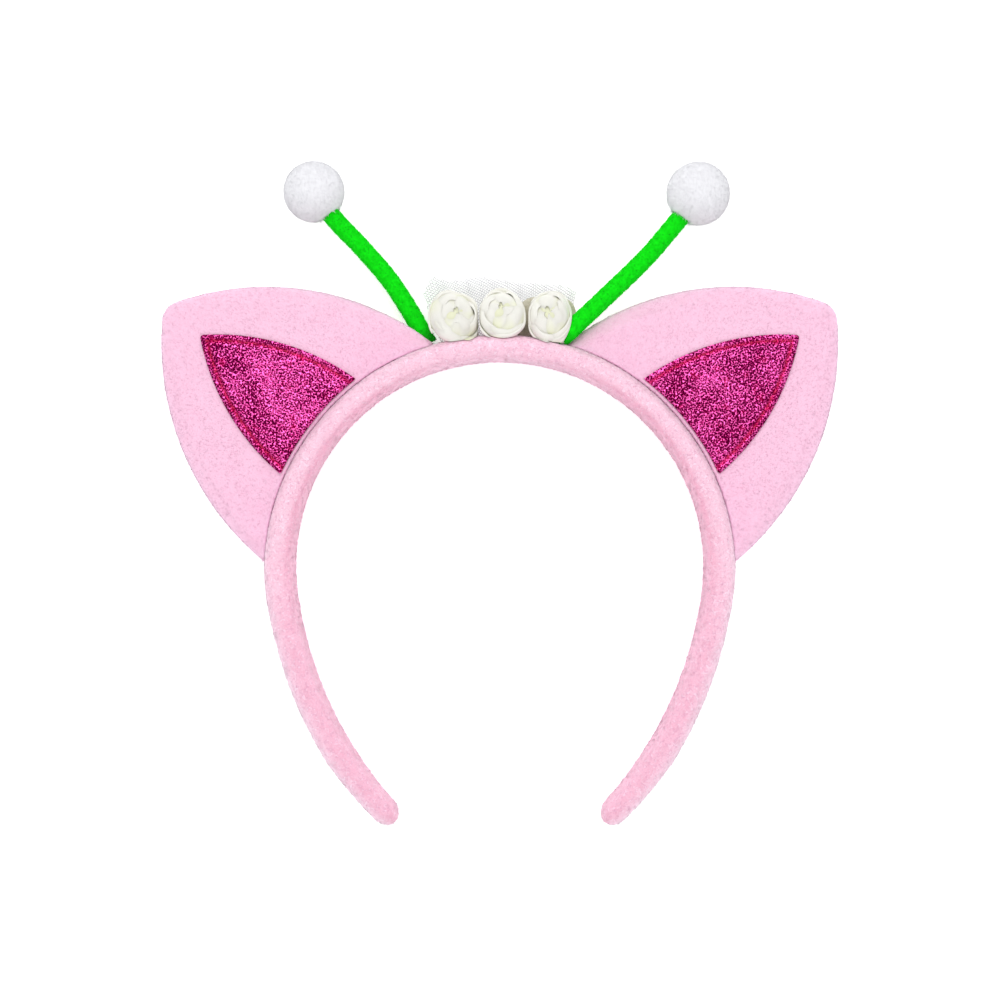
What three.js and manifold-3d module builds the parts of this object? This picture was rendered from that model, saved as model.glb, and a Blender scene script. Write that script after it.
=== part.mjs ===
// A plush headband with padded animal ears, two pompom antennae and a spray of foam roses, lying on its back.
// Millimetres. X runs to the right, Y from the leg tips to the crown, Z from the band's back to its front.
// The pieces are drawn around the centre of the crown arc and moved together at the end.
import * as THREE from 'three';
import { mergeVertices } from 'three/addons/utils/BufferGeometryUtils.js';
import Module from 'manifold-3d';

const wasm = await Module();
wasm.setup();
const radians = THREE.MathUtils.degToRad;

// Free space left between neighbouring pieces.
const GAP = 0.3;

// Band: the inner face is a crown arc around the head that runs on into two flatter leg arcs.
const HEAD_RADIUS = 61.6;
const CROWN_HALF_ANGLE = radians(98);
const LEG_RADIUS = 117;
const LEG_ANGLE = radians(36.3);
const BAND_DEPTH = 20;
const BAND_SIDES = 16;
const BAND_STEPS = 36;
// The back roll is pressed flat at this share of the half depth, which is where the band lies.
const REST_FLAT = 0.93;
const OUTER_ROUNDNESS = 2.4;
const INNER_ROUNDNESS = 3.6;
// Shares of the way from the crown to a tip, with the padding's thickness and the share of the full depth.
const BAND_STATIONS = [
  { along: 0.0, thickness: 7.7, depth: 1.0 },
  { along: 0.32, thickness: 7.8, depth: 1.0 },
  { along: 0.55, thickness: 8.8, depth: 1.0 },
  { along: 0.66, thickness: 8.5, depth: 1.0 },
  { along: 0.86, thickness: 8.4, depth: 0.94 },
  { along: 1.0, thickness: 7.6, depth: 0.74 },
];
// Rings close to each tip, as distances from it, where the padding rounds off to a small end.
const TIP_RINGS = [0, 0.5, 1.5, 3.0];
const TIP_ROUND = 4.5;
const TIP_END = 0.28;

// Ears: pointed arches whose side arcs spring from the base and meet in a rounded tip.
const EAR_LEAN = radians(52.4);
const EAR_THICKNESS = 3.6;
const EAR_EDGE_ROUND = 1.1;
const EAR_EDGE_STEPS = 2;
const PANEL_ARC_POINTS = 8;
const EAR_ARCH = { radius: 82, centreX: 41.2, spring: 56.6, tipRadius: 6.5 };
const INNER_EAR_ARCH = { radius: 70.8, centreX: 52.6, spring: 65.9, tipRadius: 1.6 };
const INNER_EAR_THICKNESS = 1.0;
// The panels run down to this radius before the band's room is cut from them.
const PANEL_FOOT_RADIUS = 65.5;

// Antenna stems: chenille with two ridges winding along it.
const STEM_RADIUS = 2.95;
const STEM_SIDES = 8;
const STEM_STEPS = 27;
const STEM_TURNS = 9;
const STEM_RIDGE = 0.07;
const STEM_LEFT = [
  { x: -20.6, y: 65.6, z: 4.8 },
  { x: -23.4, y: 70.5, z: 4.8 },
  { x: -27.6, y: 77.4, z: 5.2 },
  { x: -33.8, y: 86.7, z: 7.0 },
  { x: -42.2, y: 96.3, z: 8.8 },
  { x: -51.2, y: 107.3, z: 10.2 },
];
const STEM_RIGHT = [
  { x: 16.4, y: 67.3, z: 14.2 },
  { x: 19.9, y: 69.6, z: 13.3 },
  { x: 23.4, y: 72.9, z: 12.6 },
  { x: 28.0, y: 77.4, z: 12.0 },
  { x: 42.5, y: 91.5, z: 10.8 },
  { x: 55.4, y: 106.2, z: 10.2 },
];

// Pompoms: a head with blunt locks all round.
const POMPOM_LEFT = { x: -55.7, y: 112.4, z: 10.3, radius: 9.2 };
const POMPOM_RIGHT = { x: 59.5, y: 112.0, z: 10.3, radius: 9.3 };
const POMPOM_HEAD_SHARE = 0.96;
const POMPOM_HEAD_DETAIL = 1;
const POMPOM_LOCKS = 30;
const LOCK = { tip: 1.7, root: 3.0, length: 3.2, sides: 5 };

// Roses: rings of cupped petals round a rolled heart, on a small base.
const PETAL_THICKNESS = 0.95;
const PETAL_STEPS_AROUND = 5;
const PETAL_STEPS_UP = 2;
const PETAL_RINGS = [
  { count: 3, span: radians(150), foot: 1.6, rim: 5.35, rise: 5.6, curl: 0.85, turn: radians(0) },
  { count: 3, span: radians(135), foot: 1.4, rim: 3.9, rise: 7.4, curl: 0.4, turn: radians(48) },
  { count: 2, span: radians(170), foot: 1.0, rim: 2.3, rise: 8.4, curl: 0.1, turn: radians(20) },
];
// How far one side of a petal lies outside the other, and how much lower its sides are than its middle.
const PETAL_TUCK = 0.4;
const PETAL_DROP = 0.3;
const ROSE_BASE = { radius: 3.0, stretch: 1.07, middle: 1.4, sides: 8, rows: 5 };
const ROSE_HEART = { foot: 1.3, top: 0.8, height: 8.2, sides: 6 };
const ROSES = [
  { name: 'rose_left', x: -14.5, y: 73.4, z: 9.5, lift: 12, turn: 4, spin: 200, size: 1.02, tall: 1.1 },
  { name: 'rose_centre', x: 0.2, y: 73.5, z: 9.6, lift: 16, turn: 0, spin: 75, size: 1.04, tall: 1.1 },
  { name: 'rose_right', x: 14.6, y: 73.6, z: 9.5, lift: 10, turn: -3, spin: 320, size: 0.97, tall: 1.12 },
];

// Tulle: one gathered strip standing behind the roses, fanning out upwards.
const TULLE_THICKNESS = 1.0;
const TULLE_FOLDS = 6;
const TULLE_FOLD_DEPTH = 1.4;
const TULLE_MIDDLE_Z = 4.1;
const TULLE_FOOT_Y = 63.5;
const TULLE_FOOT_SHARE = 0.72;
const TULLE_STEPS_ALONG = 42;
const TULLE_STEPS_UP = 2;
const TULLE_TOP = [
  { x: -23.5, y: 81.0 },
  { x: -20.0, y: 87.3 },
  { x: -14.5, y: 85.8 },
  { x: -9.0, y: 87.0 },
  { x: -3.0, y: 87.2 },
  { x: 3.0, y: 85.7 },
  { x: 9.0, y: 85.5 },
  { x: 15.0, y: 85.2 },
  { x: 20.5, y: 84.0 },
  { x: 24.0, y: 83.0 },
];

// Backing pad behind the right rose.
const PAD = { x: 14.2, y: 73.0, z: 6.45, halfWidth: 9.0, halfHeight: 8.4, squareness: 3.2, thickness: 1.1 };
const PAD_POINTS = 28;

const plush = new THREE.MeshStandardMaterial({ color: 0xf9c6dc, roughness: 0.95, metalness: 0 });
const glitterCloth = new THREE.MeshStandardMaterial({ color: 0xcf4896, roughness: 0.4, metalness: 0.4 });
const chenille = new THREE.MeshStandardMaterial({ color: 0x0bd01c, roughness: 0.9, metalness: 0 });
const pile = new THREE.MeshStandardMaterial({ color: 0xf4f3f5, roughness: 0.95, metalness: 0 });
const foam = new THREE.MeshStandardMaterial({ color: 0xf3f0ec, roughness: 0.7, metalness: 0 });
const net = new THREE.MeshStandardMaterial({ color: 0xf6f6f6, roughness: 0.8, metalness: 0 });
const felt = new THREE.MeshStandardMaterial({ color: 0xc6bfb2, roughness: 0.95, metalness: 0 });

// Moves every vertex of a geometry to where place puts it.
function bend(geometry, place) {
  const position = geometry.getAttribute('position');
  const vertex = new THREE.Vector3();
  for (let i = 0; i < position.count; i += 1) {
    vertex.fromBufferAttribute(position, i);
    const moved = place(vertex.x, vertex.y, vertex.z);
    position.setXYZ(i, moved.x, moved.y, moved.z);
  }
  return geometry;
}

// Closed tube through numbered rings. Reach is 1 on the skin and 0 at the middle of an end.
function sweep(rings, sides, place) {
  const tube = new THREE.CylinderGeometry(1, 1, rings - 1, sides, rings - 1);
  return bend(tube, (x, y, z) => {
    const ring = Math.round((rings - 1) / 2 - y);
    return place(ring, Math.atan2(z, x), Math.hypot(x, z));
  });
}

function toSolid(geometry) {
  const bare = geometry.clone();
  bare.deleteAttribute('normal');
  bare.deleteAttribute('uv');
  const merged = mergeVertices(bare, 1e-4);
  return new wasm.Manifold(new wasm.Mesh({
    numProp: 3,
    vertProperties: merged.getAttribute('position').array,
    triVerts: new Uint32Array(merged.index.array),
  }));
}

function toGeometry(solid) {
  const mesh = solid.getMesh();
  const geometry = new THREE.BufferGeometry();
  geometry.setAttribute('position', new THREE.BufferAttribute(mesh.vertProperties, 3));
  geometry.setIndex(new THREE.BufferAttribute(mesh.triVerts, 1));
  geometry.computeVertexNormals();
  return geometry;
}

// Cuts the room of each neighbour out of a piece and keeps its largest body.
function trim(geometry, rooms) {
  const cut = rooms.reduce((solid, room) => solid.subtract(toSolid(room)), toSolid(geometry));
  const bodies = cut.decompose().sort((a, b) => b.volume() - a.volume());
  return toGeometry(bodies[0]);
}

function join(geometries) {
  return toGeometry(geometries.map(toSolid).reduce((whole, next) => whole.add(next)));
}

// Value between the rows of a table, for a position in its first column.
function between(rows, column, value, at) {
  const upper = Math.max(1, rows.findIndex((row) => row[column] >= at));
  const low = rows[upper - 1];
  const high = rows[upper];
  const share = (at - low[column]) / (high[column] - low[column]);
  return THREE.MathUtils.lerp(low[value], high[value], THREE.MathUtils.clamp(share, 0, 1));
}

// Angles of the path are counted from the crown, clockwise as seen from the front.
function arc(centre, radius, from, to) {
  return new THREE.EllipseCurve(
    centre.x, centre.y, radius, radius, Math.PI / 2 - from, Math.PI / 2 - to, true,
  );
}

function bandPath() {
  const legShift = HEAD_RADIUS - LEG_RADIUS;
  const across = legShift * Math.sin(CROWN_HALF_ANGLE);
  const up = legShift * Math.cos(CROWN_HALF_ANGLE);
  const tip = CROWN_HALF_ANGLE + LEG_ANGLE;
  const path = new THREE.CurvePath();
  path.add(arc({ x: -across, y: up }, LEG_RADIUS, -tip, -CROWN_HALF_ANGLE));
  path.add(arc({ x: 0, y: 0 }, HEAD_RADIUS, -CROWN_HALF_ANGLE, CROWN_HALF_ANGLE));
  path.add(arc({ x: across, y: up }, LEG_RADIUS, CROWN_HALF_ANGLE, tip));
  return path;
}

const path = bandPath();
const pathLength = path.getLength();
const halfDepth = BAND_DEPTH / (1 + REST_FLAT);
const middleZ = halfDepth * REST_FLAT;

function bandRings() {
  const first = TIP_ROUND;
  const step = (pathLength - 2 * first) / BAND_STEPS;
  const body = Array.from({ length: BAND_STEPS + 1 }, (_, i) => first + i * step);
  const far = TIP_RINGS.map((distance) => pathLength - distance).reverse();
  return [...TIP_RINGS, ...body, ...far];
}

function signedPower(value, power) {
  return Math.sign(value) * Math.abs(value) ** power;
}

// The band's skin, or the room it needs when it is grown.
function bandGeometry(grow) {
  const distances = bandRings();
  return sweep(distances.length, BAND_SIDES, (ring, angle, reach) => {
    const distance = distances[ring];
    const point = path.getPoint(distance / pathLength);
    const ahead = path.getTangent(distance / pathLength);
    const fromTip = Math.min(distance, pathLength - distance);
    const along = Math.abs(2 * distance / pathLength - 1);
    const thickness = between(BAND_STATIONS, 'along', 'thickness', along);
    const depthShare = between(BAND_STATIONS, 'along', 'depth', along);
    const inside = Math.min(1, fromTip / TIP_ROUND);
    const end = Math.max(TIP_END, Math.sqrt(1 - (1 - inside) ** 2)) * reach;
    const power = 2 / (Math.cos(angle) > 0 ? OUTER_ROUNDNESS : INNER_ROUNDNESS);
    const outward = signedPower(Math.cos(angle), power) * end;
    const front = Math.max(-REST_FLAT, signedPower(Math.sin(angle), power)) * end;
    const reachOut = thickness / 2 + outward * (thickness / 2 + grow);
    return {
      x: point.x - ahead.y * reachOut,
      y: point.y + ahead.x * reachOut,
      z: middleZ + front * (halfDepth * depthShare + grow),
    };
  });
}

// Pointed arch standing on the circle of the band, turned to one side of the crown.
function panelShape(arch, lean) {
  const away = arch.radius - arch.tipRadius;
  const tipY = arch.spring + Math.sqrt(away ** 2 - arch.centreX ** 2);
  const tipTurn = Math.atan2(tipY - arch.spring, -arch.centreX);
  const corner = Math.atan2(arch.spring, arch.radius - arch.centreX);
  const shape = new THREE.Shape();
  shape.absarc(arch.centreX, arch.spring, arch.radius, Math.PI, tipTurn, true);
  shape.absarc(0, tipY, arch.tipRadius, tipTurn, Math.PI - tipTurn, true);
  shape.absarc(-arch.centreX, arch.spring, arch.radius, Math.PI - tipTurn, 0, true);
  shape.absarc(0, 0, PANEL_FOOT_RADIUS, corner, Math.PI - corner, false);
  const crownCentre = new THREE.Vector2();
  const outline = shape.getPoints(PANEL_ARC_POINTS);
  return new THREE.Shape(outline.map((point) => point.rotateAround(crownCentre, lean)));
}

function earGeometry(lean) {
  const ear = new THREE.ExtrudeGeometry(panelShape(EAR_ARCH, lean), {
    depth: EAR_THICKNESS - 2 * EAR_EDGE_ROUND,
    bevelThickness: EAR_EDGE_ROUND,
    bevelSize: EAR_EDGE_ROUND,
    bevelOffset: -EAR_EDGE_ROUND,
    bevelSegments: EAR_EDGE_STEPS,
  });
  return ear.translate(0, 0, middleZ - EAR_THICKNESS / 2 + EAR_EDGE_ROUND);
}

function innerEarGeometry(lean) {
  const panel = new THREE.ExtrudeGeometry(panelShape(INNER_EAR_ARCH, lean), {
    depth: INNER_EAR_THICKNESS,
    bevelEnabled: false,
  });
  return panel.translate(0, 0, middleZ + EAR_THICKNESS / 2 + GAP);
}

function stemGeometry(rows, grow) {
  const curve = new THREE.CatmullRomCurve3(rows.map((row) => new THREE.Vector3(row.x, row.y, row.z)));
  const points = curve.getSpacedPoints(STEM_STEPS);
  const frames = curve.computeFrenetFrames(STEM_STEPS, false);
  return sweep(STEM_STEPS + 1, STEM_SIDES, (ring, angle, reach) => {
    const winding = 2 * angle + 2 * Math.PI * STEM_TURNS * ring / STEM_STEPS;
    const ridge = grow > 0 ? 1 : 1 - STEM_RIDGE * (1 + Math.cos(winding));
    const radius = reach * (STEM_RADIUS * ridge + grow);
    return points[ring].clone()
      .addScaledVector(frames.normals[ring], radius * Math.cos(angle))
      .addScaledVector(frames.binormals[ring], radius * Math.sin(angle));
  });
}

// Evenly spread directions on a sphere, one for each lock.
function spreadDirection(index, count) {
  const height = 1 - 2 * (index + 0.5) / count;
  const turn = index * Math.PI * (3 - Math.sqrt(5));
  const width = Math.sqrt(1 - height ** 2);
  return new THREE.Vector3(width * Math.cos(turn), width * Math.sin(turn), height);
}

function pompomGeometry(ball) {
  const head = new THREE.IcosahedronGeometry(ball.radius * POMPOM_HEAD_SHARE, POMPOM_HEAD_DETAIL);
  const parts = [head];
  const up = new THREE.Vector3(0, 1, 0);
  for (let i = 0; i < POMPOM_LOCKS; i += 1) {
    const direction = spreadDirection(i, POMPOM_LOCKS);
    const lock = new THREE.CylinderGeometry(LOCK.tip, LOCK.root, LOCK.length, LOCK.sides);
    lock.translate(0, ball.radius - LOCK.length / 2, 0);
    lock.applyQuaternion(new THREE.Quaternion().setFromUnitVectors(up, direction));
    parts.push(lock);
  }
  return join(parts).translate(ball.x, ball.y, ball.z);
}

// One petal: a slab bent round the flower's axis, cupped at the foot and curling out at the rim.
function petalGeometry(ring, middle) {
  const slab = new THREE.BoxGeometry(2, 1, 1, PETAL_STEPS_AROUND, PETAL_STEPS_UP, 1);
  return bend(slab, (across, lift, layer) => {
    const height = lift + 0.5;
    const angle = middle + across * ring.span / 2;
    const cup = ring.foot + (ring.rim - ring.foot) * Math.sin(height * Math.PI / 2);
    const curl = ring.curl * height ** 4;
    const wall = layer * PETAL_THICKNESS;
    const radius = cup + curl + PETAL_TUCK * across * height + wall;
    const dome = 1 - PETAL_DROP * across ** 2 * height;
    return {
      x: radius * Math.cos(angle),
      y: radius * Math.sin(angle),
      z: ring.rise * height * dome,
    };
  });
}

function roseGeometry(rose) {
  const base = new THREE.SphereGeometry(ROSE_BASE.radius, ROSE_BASE.sides, ROSE_BASE.rows);
  base.rotateX(Math.PI / 2).scale(1, 1, ROSE_BASE.stretch).translate(0, 0, ROSE_BASE.middle);
  const heart = new THREE.CylinderGeometry(
    ROSE_HEART.top, ROSE_HEART.foot, ROSE_HEART.height, ROSE_HEART.sides,
  );
  heart.rotateX(Math.PI / 2).translate(0, 0, ROSE_HEART.height / 2);
  const parts = [base, heart];
  for (const ring of PETAL_RINGS) {
    for (let i = 0; i < ring.count; i += 1) {
      parts.push(petalGeometry(ring, ring.turn + 2 * Math.PI * i / ring.count));
    }
  }
  return join(parts)
    .rotateZ(radians(rose.spin))
    .scale(rose.size, rose.size * rose.tall, 1)
    .rotateX(-radians(rose.lift))
    .rotateY(radians(rose.turn))
    .translate(rose.x, rose.y, rose.z);
}

function tulleGeometry() {
  const slab = new THREE.BoxGeometry(1, 1, 1, TULLE_STEPS_ALONG, TULLE_STEPS_UP, 1);
  const left = TULLE_TOP[0].x;
  const width = TULLE_TOP.at(-1).x - left;
  const wave = 2 * Math.PI * TULLE_FOLDS;
  return bend(slab, (along, lift, layer) => {
    const share = along + 0.5;
    const height = lift + 0.5;
    const topX = left + width * share;
    const fan = THREE.MathUtils.lerp(TULLE_FOOT_SHARE, 1, height);
    const topY = between(TULLE_TOP, 'x', 'y', topX);
    const slope = TULLE_FOLD_DEPTH * wave * Math.cos(wave * share) / (width * fan);
    const wall = layer * TULLE_THICKNESS / Math.hypot(1, slope);
    return {
      x: topX * fan - slope * wall,
      y: THREE.MathUtils.lerp(TULLE_FOOT_Y, topY, height),
      z: TULLE_MIDDLE_Z + TULLE_FOLD_DEPTH * Math.sin(wave * share) + wall,
    };
  });
}

function padGeometry() {
  const power = 2 / PAD.squareness;
  const outline = Array.from({ length: PAD_POINTS }, (_, i) => {
    const angle = 2 * Math.PI * i / PAD_POINTS;
    return new THREE.Vector2(
      PAD.x + PAD.halfWidth * signedPower(Math.cos(angle), power),
      PAD.y + PAD.halfHeight * signedPower(Math.sin(angle), power),
    );
  });
  const pad = new THREE.ExtrudeGeometry(new THREE.Shape(outline), {
    depth: PAD.thickness,
    bevelEnabled: false,
  });
  return pad.translate(0, 0, PAD.z);
}

const headband = new THREE.Group();
headband.name = 'ear_headband';

function addPiece(name, geometry, material) {
  const mesh = new THREE.Mesh(geometry, material);
  mesh.name = name;
  headband.add(mesh);
}

const bandRoom = bandGeometry(GAP);
const stemLeftRoom = stemGeometry(STEM_LEFT, GAP);
const stemRightRoom = stemGeometry(STEM_RIGHT, GAP);

addPiece('band', bandGeometry(0), plush);
addPiece('ear_left', trim(earGeometry(EAR_LEAN), [bandRoom, stemLeftRoom]), plush);
addPiece('ear_right', trim(earGeometry(-EAR_LEAN), [bandRoom, stemRightRoom]), plush);
addPiece('inner_ear_left', trim(innerEarGeometry(EAR_LEAN), [bandRoom]), glitterCloth);
addPiece('inner_ear_right', trim(innerEarGeometry(-EAR_LEAN), [bandRoom]), glitterCloth);
addPiece('antenna_stem_left', trim(stemGeometry(STEM_LEFT, 0), [bandRoom]), chenille);
addPiece('antenna_stem_right', trim(stemGeometry(STEM_RIGHT, 0), [bandRoom]), chenille);
addPiece('pompom_left', trim(pompomGeometry(POMPOM_LEFT), [stemLeftRoom]), pile);
addPiece('pompom_right', trim(pompomGeometry(POMPOM_RIGHT), [stemRightRoom]), pile);
for (const rose of ROSES) {
  addPiece(rose.name, trim(roseGeometry(rose), [bandRoom, stemRightRoom]), foam);
}
addPiece('tulle', trim(tulleGeometry(), [bandRoom, stemLeftRoom]), net);
addPiece('rose_backing', trim(padGeometry(), [bandRoom, stemRightRoom]), felt);

// The origin goes to the middle of the box's underside.
const box = new THREE.Box3().setFromObject(headband);
const middle = box.getCenter(new THREE.Vector3());
headband.position.set(-middle.x, -middle.y, -box.min.z);

export default headband;
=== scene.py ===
# %% [markdown]
# # A plush ear headband, dressed piece by piece
# The headband lies on its back: a padded band, two ears with glitter panels, two pompom antennae,
# and a spray of foam roses on gathered net. The solid model is loaded first as a fixed frame, and
# every soft piece below takes the place of one of its solids.

# %% Load the frame
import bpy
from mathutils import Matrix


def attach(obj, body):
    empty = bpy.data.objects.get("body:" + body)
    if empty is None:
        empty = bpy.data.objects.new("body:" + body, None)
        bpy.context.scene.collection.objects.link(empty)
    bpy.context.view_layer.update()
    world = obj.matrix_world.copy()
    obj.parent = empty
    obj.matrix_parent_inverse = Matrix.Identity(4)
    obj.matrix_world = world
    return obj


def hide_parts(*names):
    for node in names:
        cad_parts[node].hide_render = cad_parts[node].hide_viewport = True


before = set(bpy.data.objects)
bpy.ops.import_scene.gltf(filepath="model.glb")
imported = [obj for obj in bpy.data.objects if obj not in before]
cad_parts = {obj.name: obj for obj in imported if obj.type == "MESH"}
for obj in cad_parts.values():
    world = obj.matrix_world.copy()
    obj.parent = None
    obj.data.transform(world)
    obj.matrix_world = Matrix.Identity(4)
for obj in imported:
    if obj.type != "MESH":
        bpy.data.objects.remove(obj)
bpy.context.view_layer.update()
print("solids in the frame:", len(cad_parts))

# %% [markdown]
# The pieces are drawn in millimetres around the middle of the crown arc, where the band, the ears and
# the roses all have simple coordinates. One small function takes such points to the shared frame, in
# metres.

# %% Units
import itertools
import math

import bmesh
import bpy
import numpy as np
from mathutils import Vector, bvhtree, geometry

MILLIMETRE = 0.001
CROWN_CENTRE = np.array([0.0, -22.077, 0.0])


def to_frame(points):
    """Metres of the shared frame for millimetres around the crown's centre."""
    return (np.asarray(points, float) + CROWN_CENTRE) * MILLIMETRE


print("crown centre in the frame:", to_frame([0, 0, 0]))

# %% [markdown]
# The headband is seen from straight above, so the camera looks down its own Z axis and needs no
# turning. From 600 mm above the ears, a 72 mm lens on a 36 mm sensor sees 300 mm, which is 0.3 mm for
# each of 1000 pixels.

# %% Camera
CAMERA_PLACE = (0.000075, -0.002077, 0.61)
CAMERA_LENS = 72
SENSOR_WIDTH = 36
camera = bpy.data.objects.new("camera", bpy.data.cameras.new("camera"))
camera.location = CAMERA_PLACE
camera.data.lens = CAMERA_LENS
camera.data.sensor_width = SENSOR_WIDTH
bpy.context.scene.collection.objects.link(camera)
bpy.context.scene.camera = camera
print("camera height:", camera.location.z)

# %% [markdown]
# Soft goods are lit as on a white table: an even white surround, one large soft box on the crown side
# to round the forms, and a weaker one from the leg side. Together they make a white sheet just white,
# so a dye shows in its own colour. The Standard view keeps the pinks and the green that bright.

# %% Studio light
SURROUND = 0.755
SOFT_BOXES = [
    {"name": "crown_box", "place": (-0.1, 0.55, 1.1), "size": 0.9, "watts": 6.1},
    {"name": "leg_box", "place": (0.35, -0.7, 0.9), "size": 0.8, "watts": 1.5},
]
scene = bpy.context.scene
scene.view_settings.view_transform = "Standard"
scene.world = bpy.data.worlds.new("white_surround")
scene.world.use_nodes = True
surround = scene.world.node_tree.nodes["Background"]
surround.inputs["Color"].default_value = (1.0, 1.0, 1.0, 1.0)
surround.inputs["Strength"].default_value = SURROUND
for box in SOFT_BOXES:
    lamp = bpy.data.lights.new(box["name"], "AREA")
    lamp.size = box["size"]
    lamp.energy = box["watts"]
    holder = bpy.data.objects.new(box["name"], lamp)
    holder.location = box["place"]
    holder.rotation_euler = (-Vector(box["place"])).to_track_quat("-Z", "Y").to_euler()
    scene.collection.objects.link(holder)
print("soft boxes:", len(SOFT_BOXES))

# %% [markdown]
# Finishes are built from nodes, but written as sums. A Wire is one output of a node. Adding or
# multiplying two wires, or a wire and a number, puts the matching Math node into the material, so a
# mask reads as `1 - spots * 0.4`.

# %% Wires
class Wire:
    """One output of a shader node, which takes part in sums."""

    def __init__(self, finish, socket):
        self.finish = finish
        self.socket = socket

    def sum(self, operation, first, second):
        return self.finish.node("ShaderNodeMath", {"operation": operation}, {0: first, 1: second})

    def __add__(self, other):
        return self.sum("ADD", self, other)

    def __radd__(self, other):
        return self.sum("ADD", other, self)

    def __sub__(self, other):
        return self.sum("SUBTRACT", self, other)

    def __rsub__(self, other):
        return self.sum("SUBTRACT", other, self)

    def __mul__(self, other):
        return self.sum("MULTIPLY", self, other)

    def __rmul__(self, other):
        return self.sum("MULTIPLY", other, self)


def socket_of(sockets, key):
    """A socket by its place, or the one in use that has that name."""
    if isinstance(key, int):
        return sockets[key]
    return next(s for s in sockets if s.name == key and s.enabled)


print("wires can add, subtract and multiply")

# %% [markdown]
# A Finish is one material. Its `node` method adds any node: the settings go first, because some of
# them change which sockets are there, and then the values or wires of the sockets. The other methods
# are the few patterns that all the cloths share: lumpy noise, a soft step, a blend of two colours and
# a value stored on the mesh.

# %% Finishes
class Finish:
    """A material whose nodes are added by one method."""

    def __init__(self, name, **constants):
        self.material = bpy.data.materials.new(name)
        self.material.use_nodes = True
        self.tree = self.material.node_tree
        self.shader = self.tree.nodes["Principled BSDF"]
        for socket, value in constants.items():
            self.shader.inputs[socket.replace("_", " ")].default_value = value

    def node(self, kind, settings, sockets, output=0):
        made = self.tree.nodes.new(kind)
        for setting, value in settings.items():
            setattr(made, setting, value)
        for key, value in sockets.items():
            self.feed(socket_of(made.inputs, key), value)
        return Wire(self, socket_of(made.outputs, output))

    def feed(self, socket, value):
        if isinstance(value, Wire):
            self.tree.links.new(value.socket, socket)
        else:
            socket.default_value = value

    def place(self):
        return self.node("ShaderNodeTexCoord", {}, {}, "Object")

    def lumps(self, size, detail=1.0):
        """Noise from 0 to 1 whose lumps are about this many millimetres across."""
        scale = 1 / (size * MILLIMETRE)
        sockets = {"Vector": self.place(), "Scale": scale, "Detail": detail}
        return self.node("ShaderNodeTexNoise", {}, sockets)

    def step(self, value, low, high):
        """A soft step from 0 to 1 between two values."""
        sockets = {"Value": value, "From Min": low, "From Max": high}
        return self.node("ShaderNodeMapRange", {"interpolation_type": "SMOOTHSTEP"}, sockets)

    def blend(self, mask, first, second):
        """The first colour where the mask is 0, the second where it is 1."""
        sockets = {"Factor": mask, "A": first, "B": second}
        return self.node("ShaderNodeMix", {"data_type": "RGBA"}, sockets, "Result")

    def stored(self, name):
        """A value that was stored on the points of the mesh."""
        return self.node("ShaderNodeAttribute", {"attribute_name": name}, {}, "Fac")

    def relief(self, height, depth, strength=1.0):
        """Feeds the shader's normal from a height, for a relief this many millimetres deep."""
        sockets = {"Height": height, "Distance": depth * MILLIMETRE, "Strength": strength}
        self.feed(self.shader.inputs["Normal"], self.node("ShaderNodeBump", {}, sockets))

    def show(self, socket, value):
        self.feed(self.shader.inputs[socket], value)


def dye(red, green, blue):
    """A colour from 0 to 255 as it looks on a screen, for a socket."""
    shares = np.array([red, green, blue]) / 255
    linear = np.where(shares <= 0.04045, shares / 12.92, ((shares + 0.055) / 1.055) ** 2.4)
    return (*linear.tolist(), 1.0)


print("a mid grey dye:", dye(128, 128, 128))

# %% [markdown]
# The table is a plain white sheet with light coming through it, so that shadows on it nearly vanish. It
# is wide enough to fill every view.

# %% Floor
FLOOR_HALF = 40.0
FLOOR_DROP = 0.0002
paper = Finish("white_paper", Roughness=0.9, Emission_Strength=0.4)
paper.show("Base Color", paper.blend(paper.lumps(40.0, detail=2.0), dye(248, 248, 248), dye(250, 250, 250)))
corners = [(-1, -1), (1, -1), (1, 1), (-1, 1)]
floor_mesh = bpy.data.meshes.new("floor")
floor_points = [(x * FLOOR_HALF, y * FLOOR_HALF, -FLOOR_DROP) for x, y in corners]
floor_mesh.from_pydata(floor_points, [], [(0, 1, 2, 3)])
floor_mesh.materials.append(paper.material)
floor = bpy.data.objects.new("floor", floor_mesh)
scene.collection.objects.link(floor)
print("floor half width:", FLOOR_HALF)

# %% [markdown]
# Cloth is never quite even. This noise gives each point a number between -1 and 1 that changes
# smoothly over a chosen size. It is worked out from whole numbers alone, so it is the same on every
# run, and many sizes can be mixed.

# %% Even-handed unevenness
HASH_STEPS = np.array([73856093, 19349663, 83492791], np.int64)
HASH_SEED_STEP = 40503
HASH_STIR = 73244475
HASH_MASK = 0xFFFFFFFF
HASH_LOW = 0xFFFF


def lumps_at(points, size, seed):
    """Smooth noise at the points, with lumps about this many millimetres across."""
    scaled = np.asarray(points, float) / size
    cell = np.floor(scaled).astype(np.int64)
    share = scaled - cell
    share = share * share * (3 - 2 * share)
    total = np.zeros(len(scaled))
    for corner in itertools.product((0, 1), repeat=3):
        key = ((cell + corner) * HASH_STEPS).sum(axis=1) + seed * HASH_SEED_STEP
        for shift in (15, 16):
            key = ((key ^ (key >> shift)) * HASH_STIR) & HASH_MASK
        value = (key & HASH_LOW) / (HASH_LOW // 2) - 1
        total += value * np.where(corner, share, 1 - share).prod(axis=1)
    return total


print("noise at three points:", lumps_at(np.eye(3) * 4.4, 1.0, 1).round(2))

# %% [markdown]
# Meshes are made from arrays of points and faces.

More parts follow.
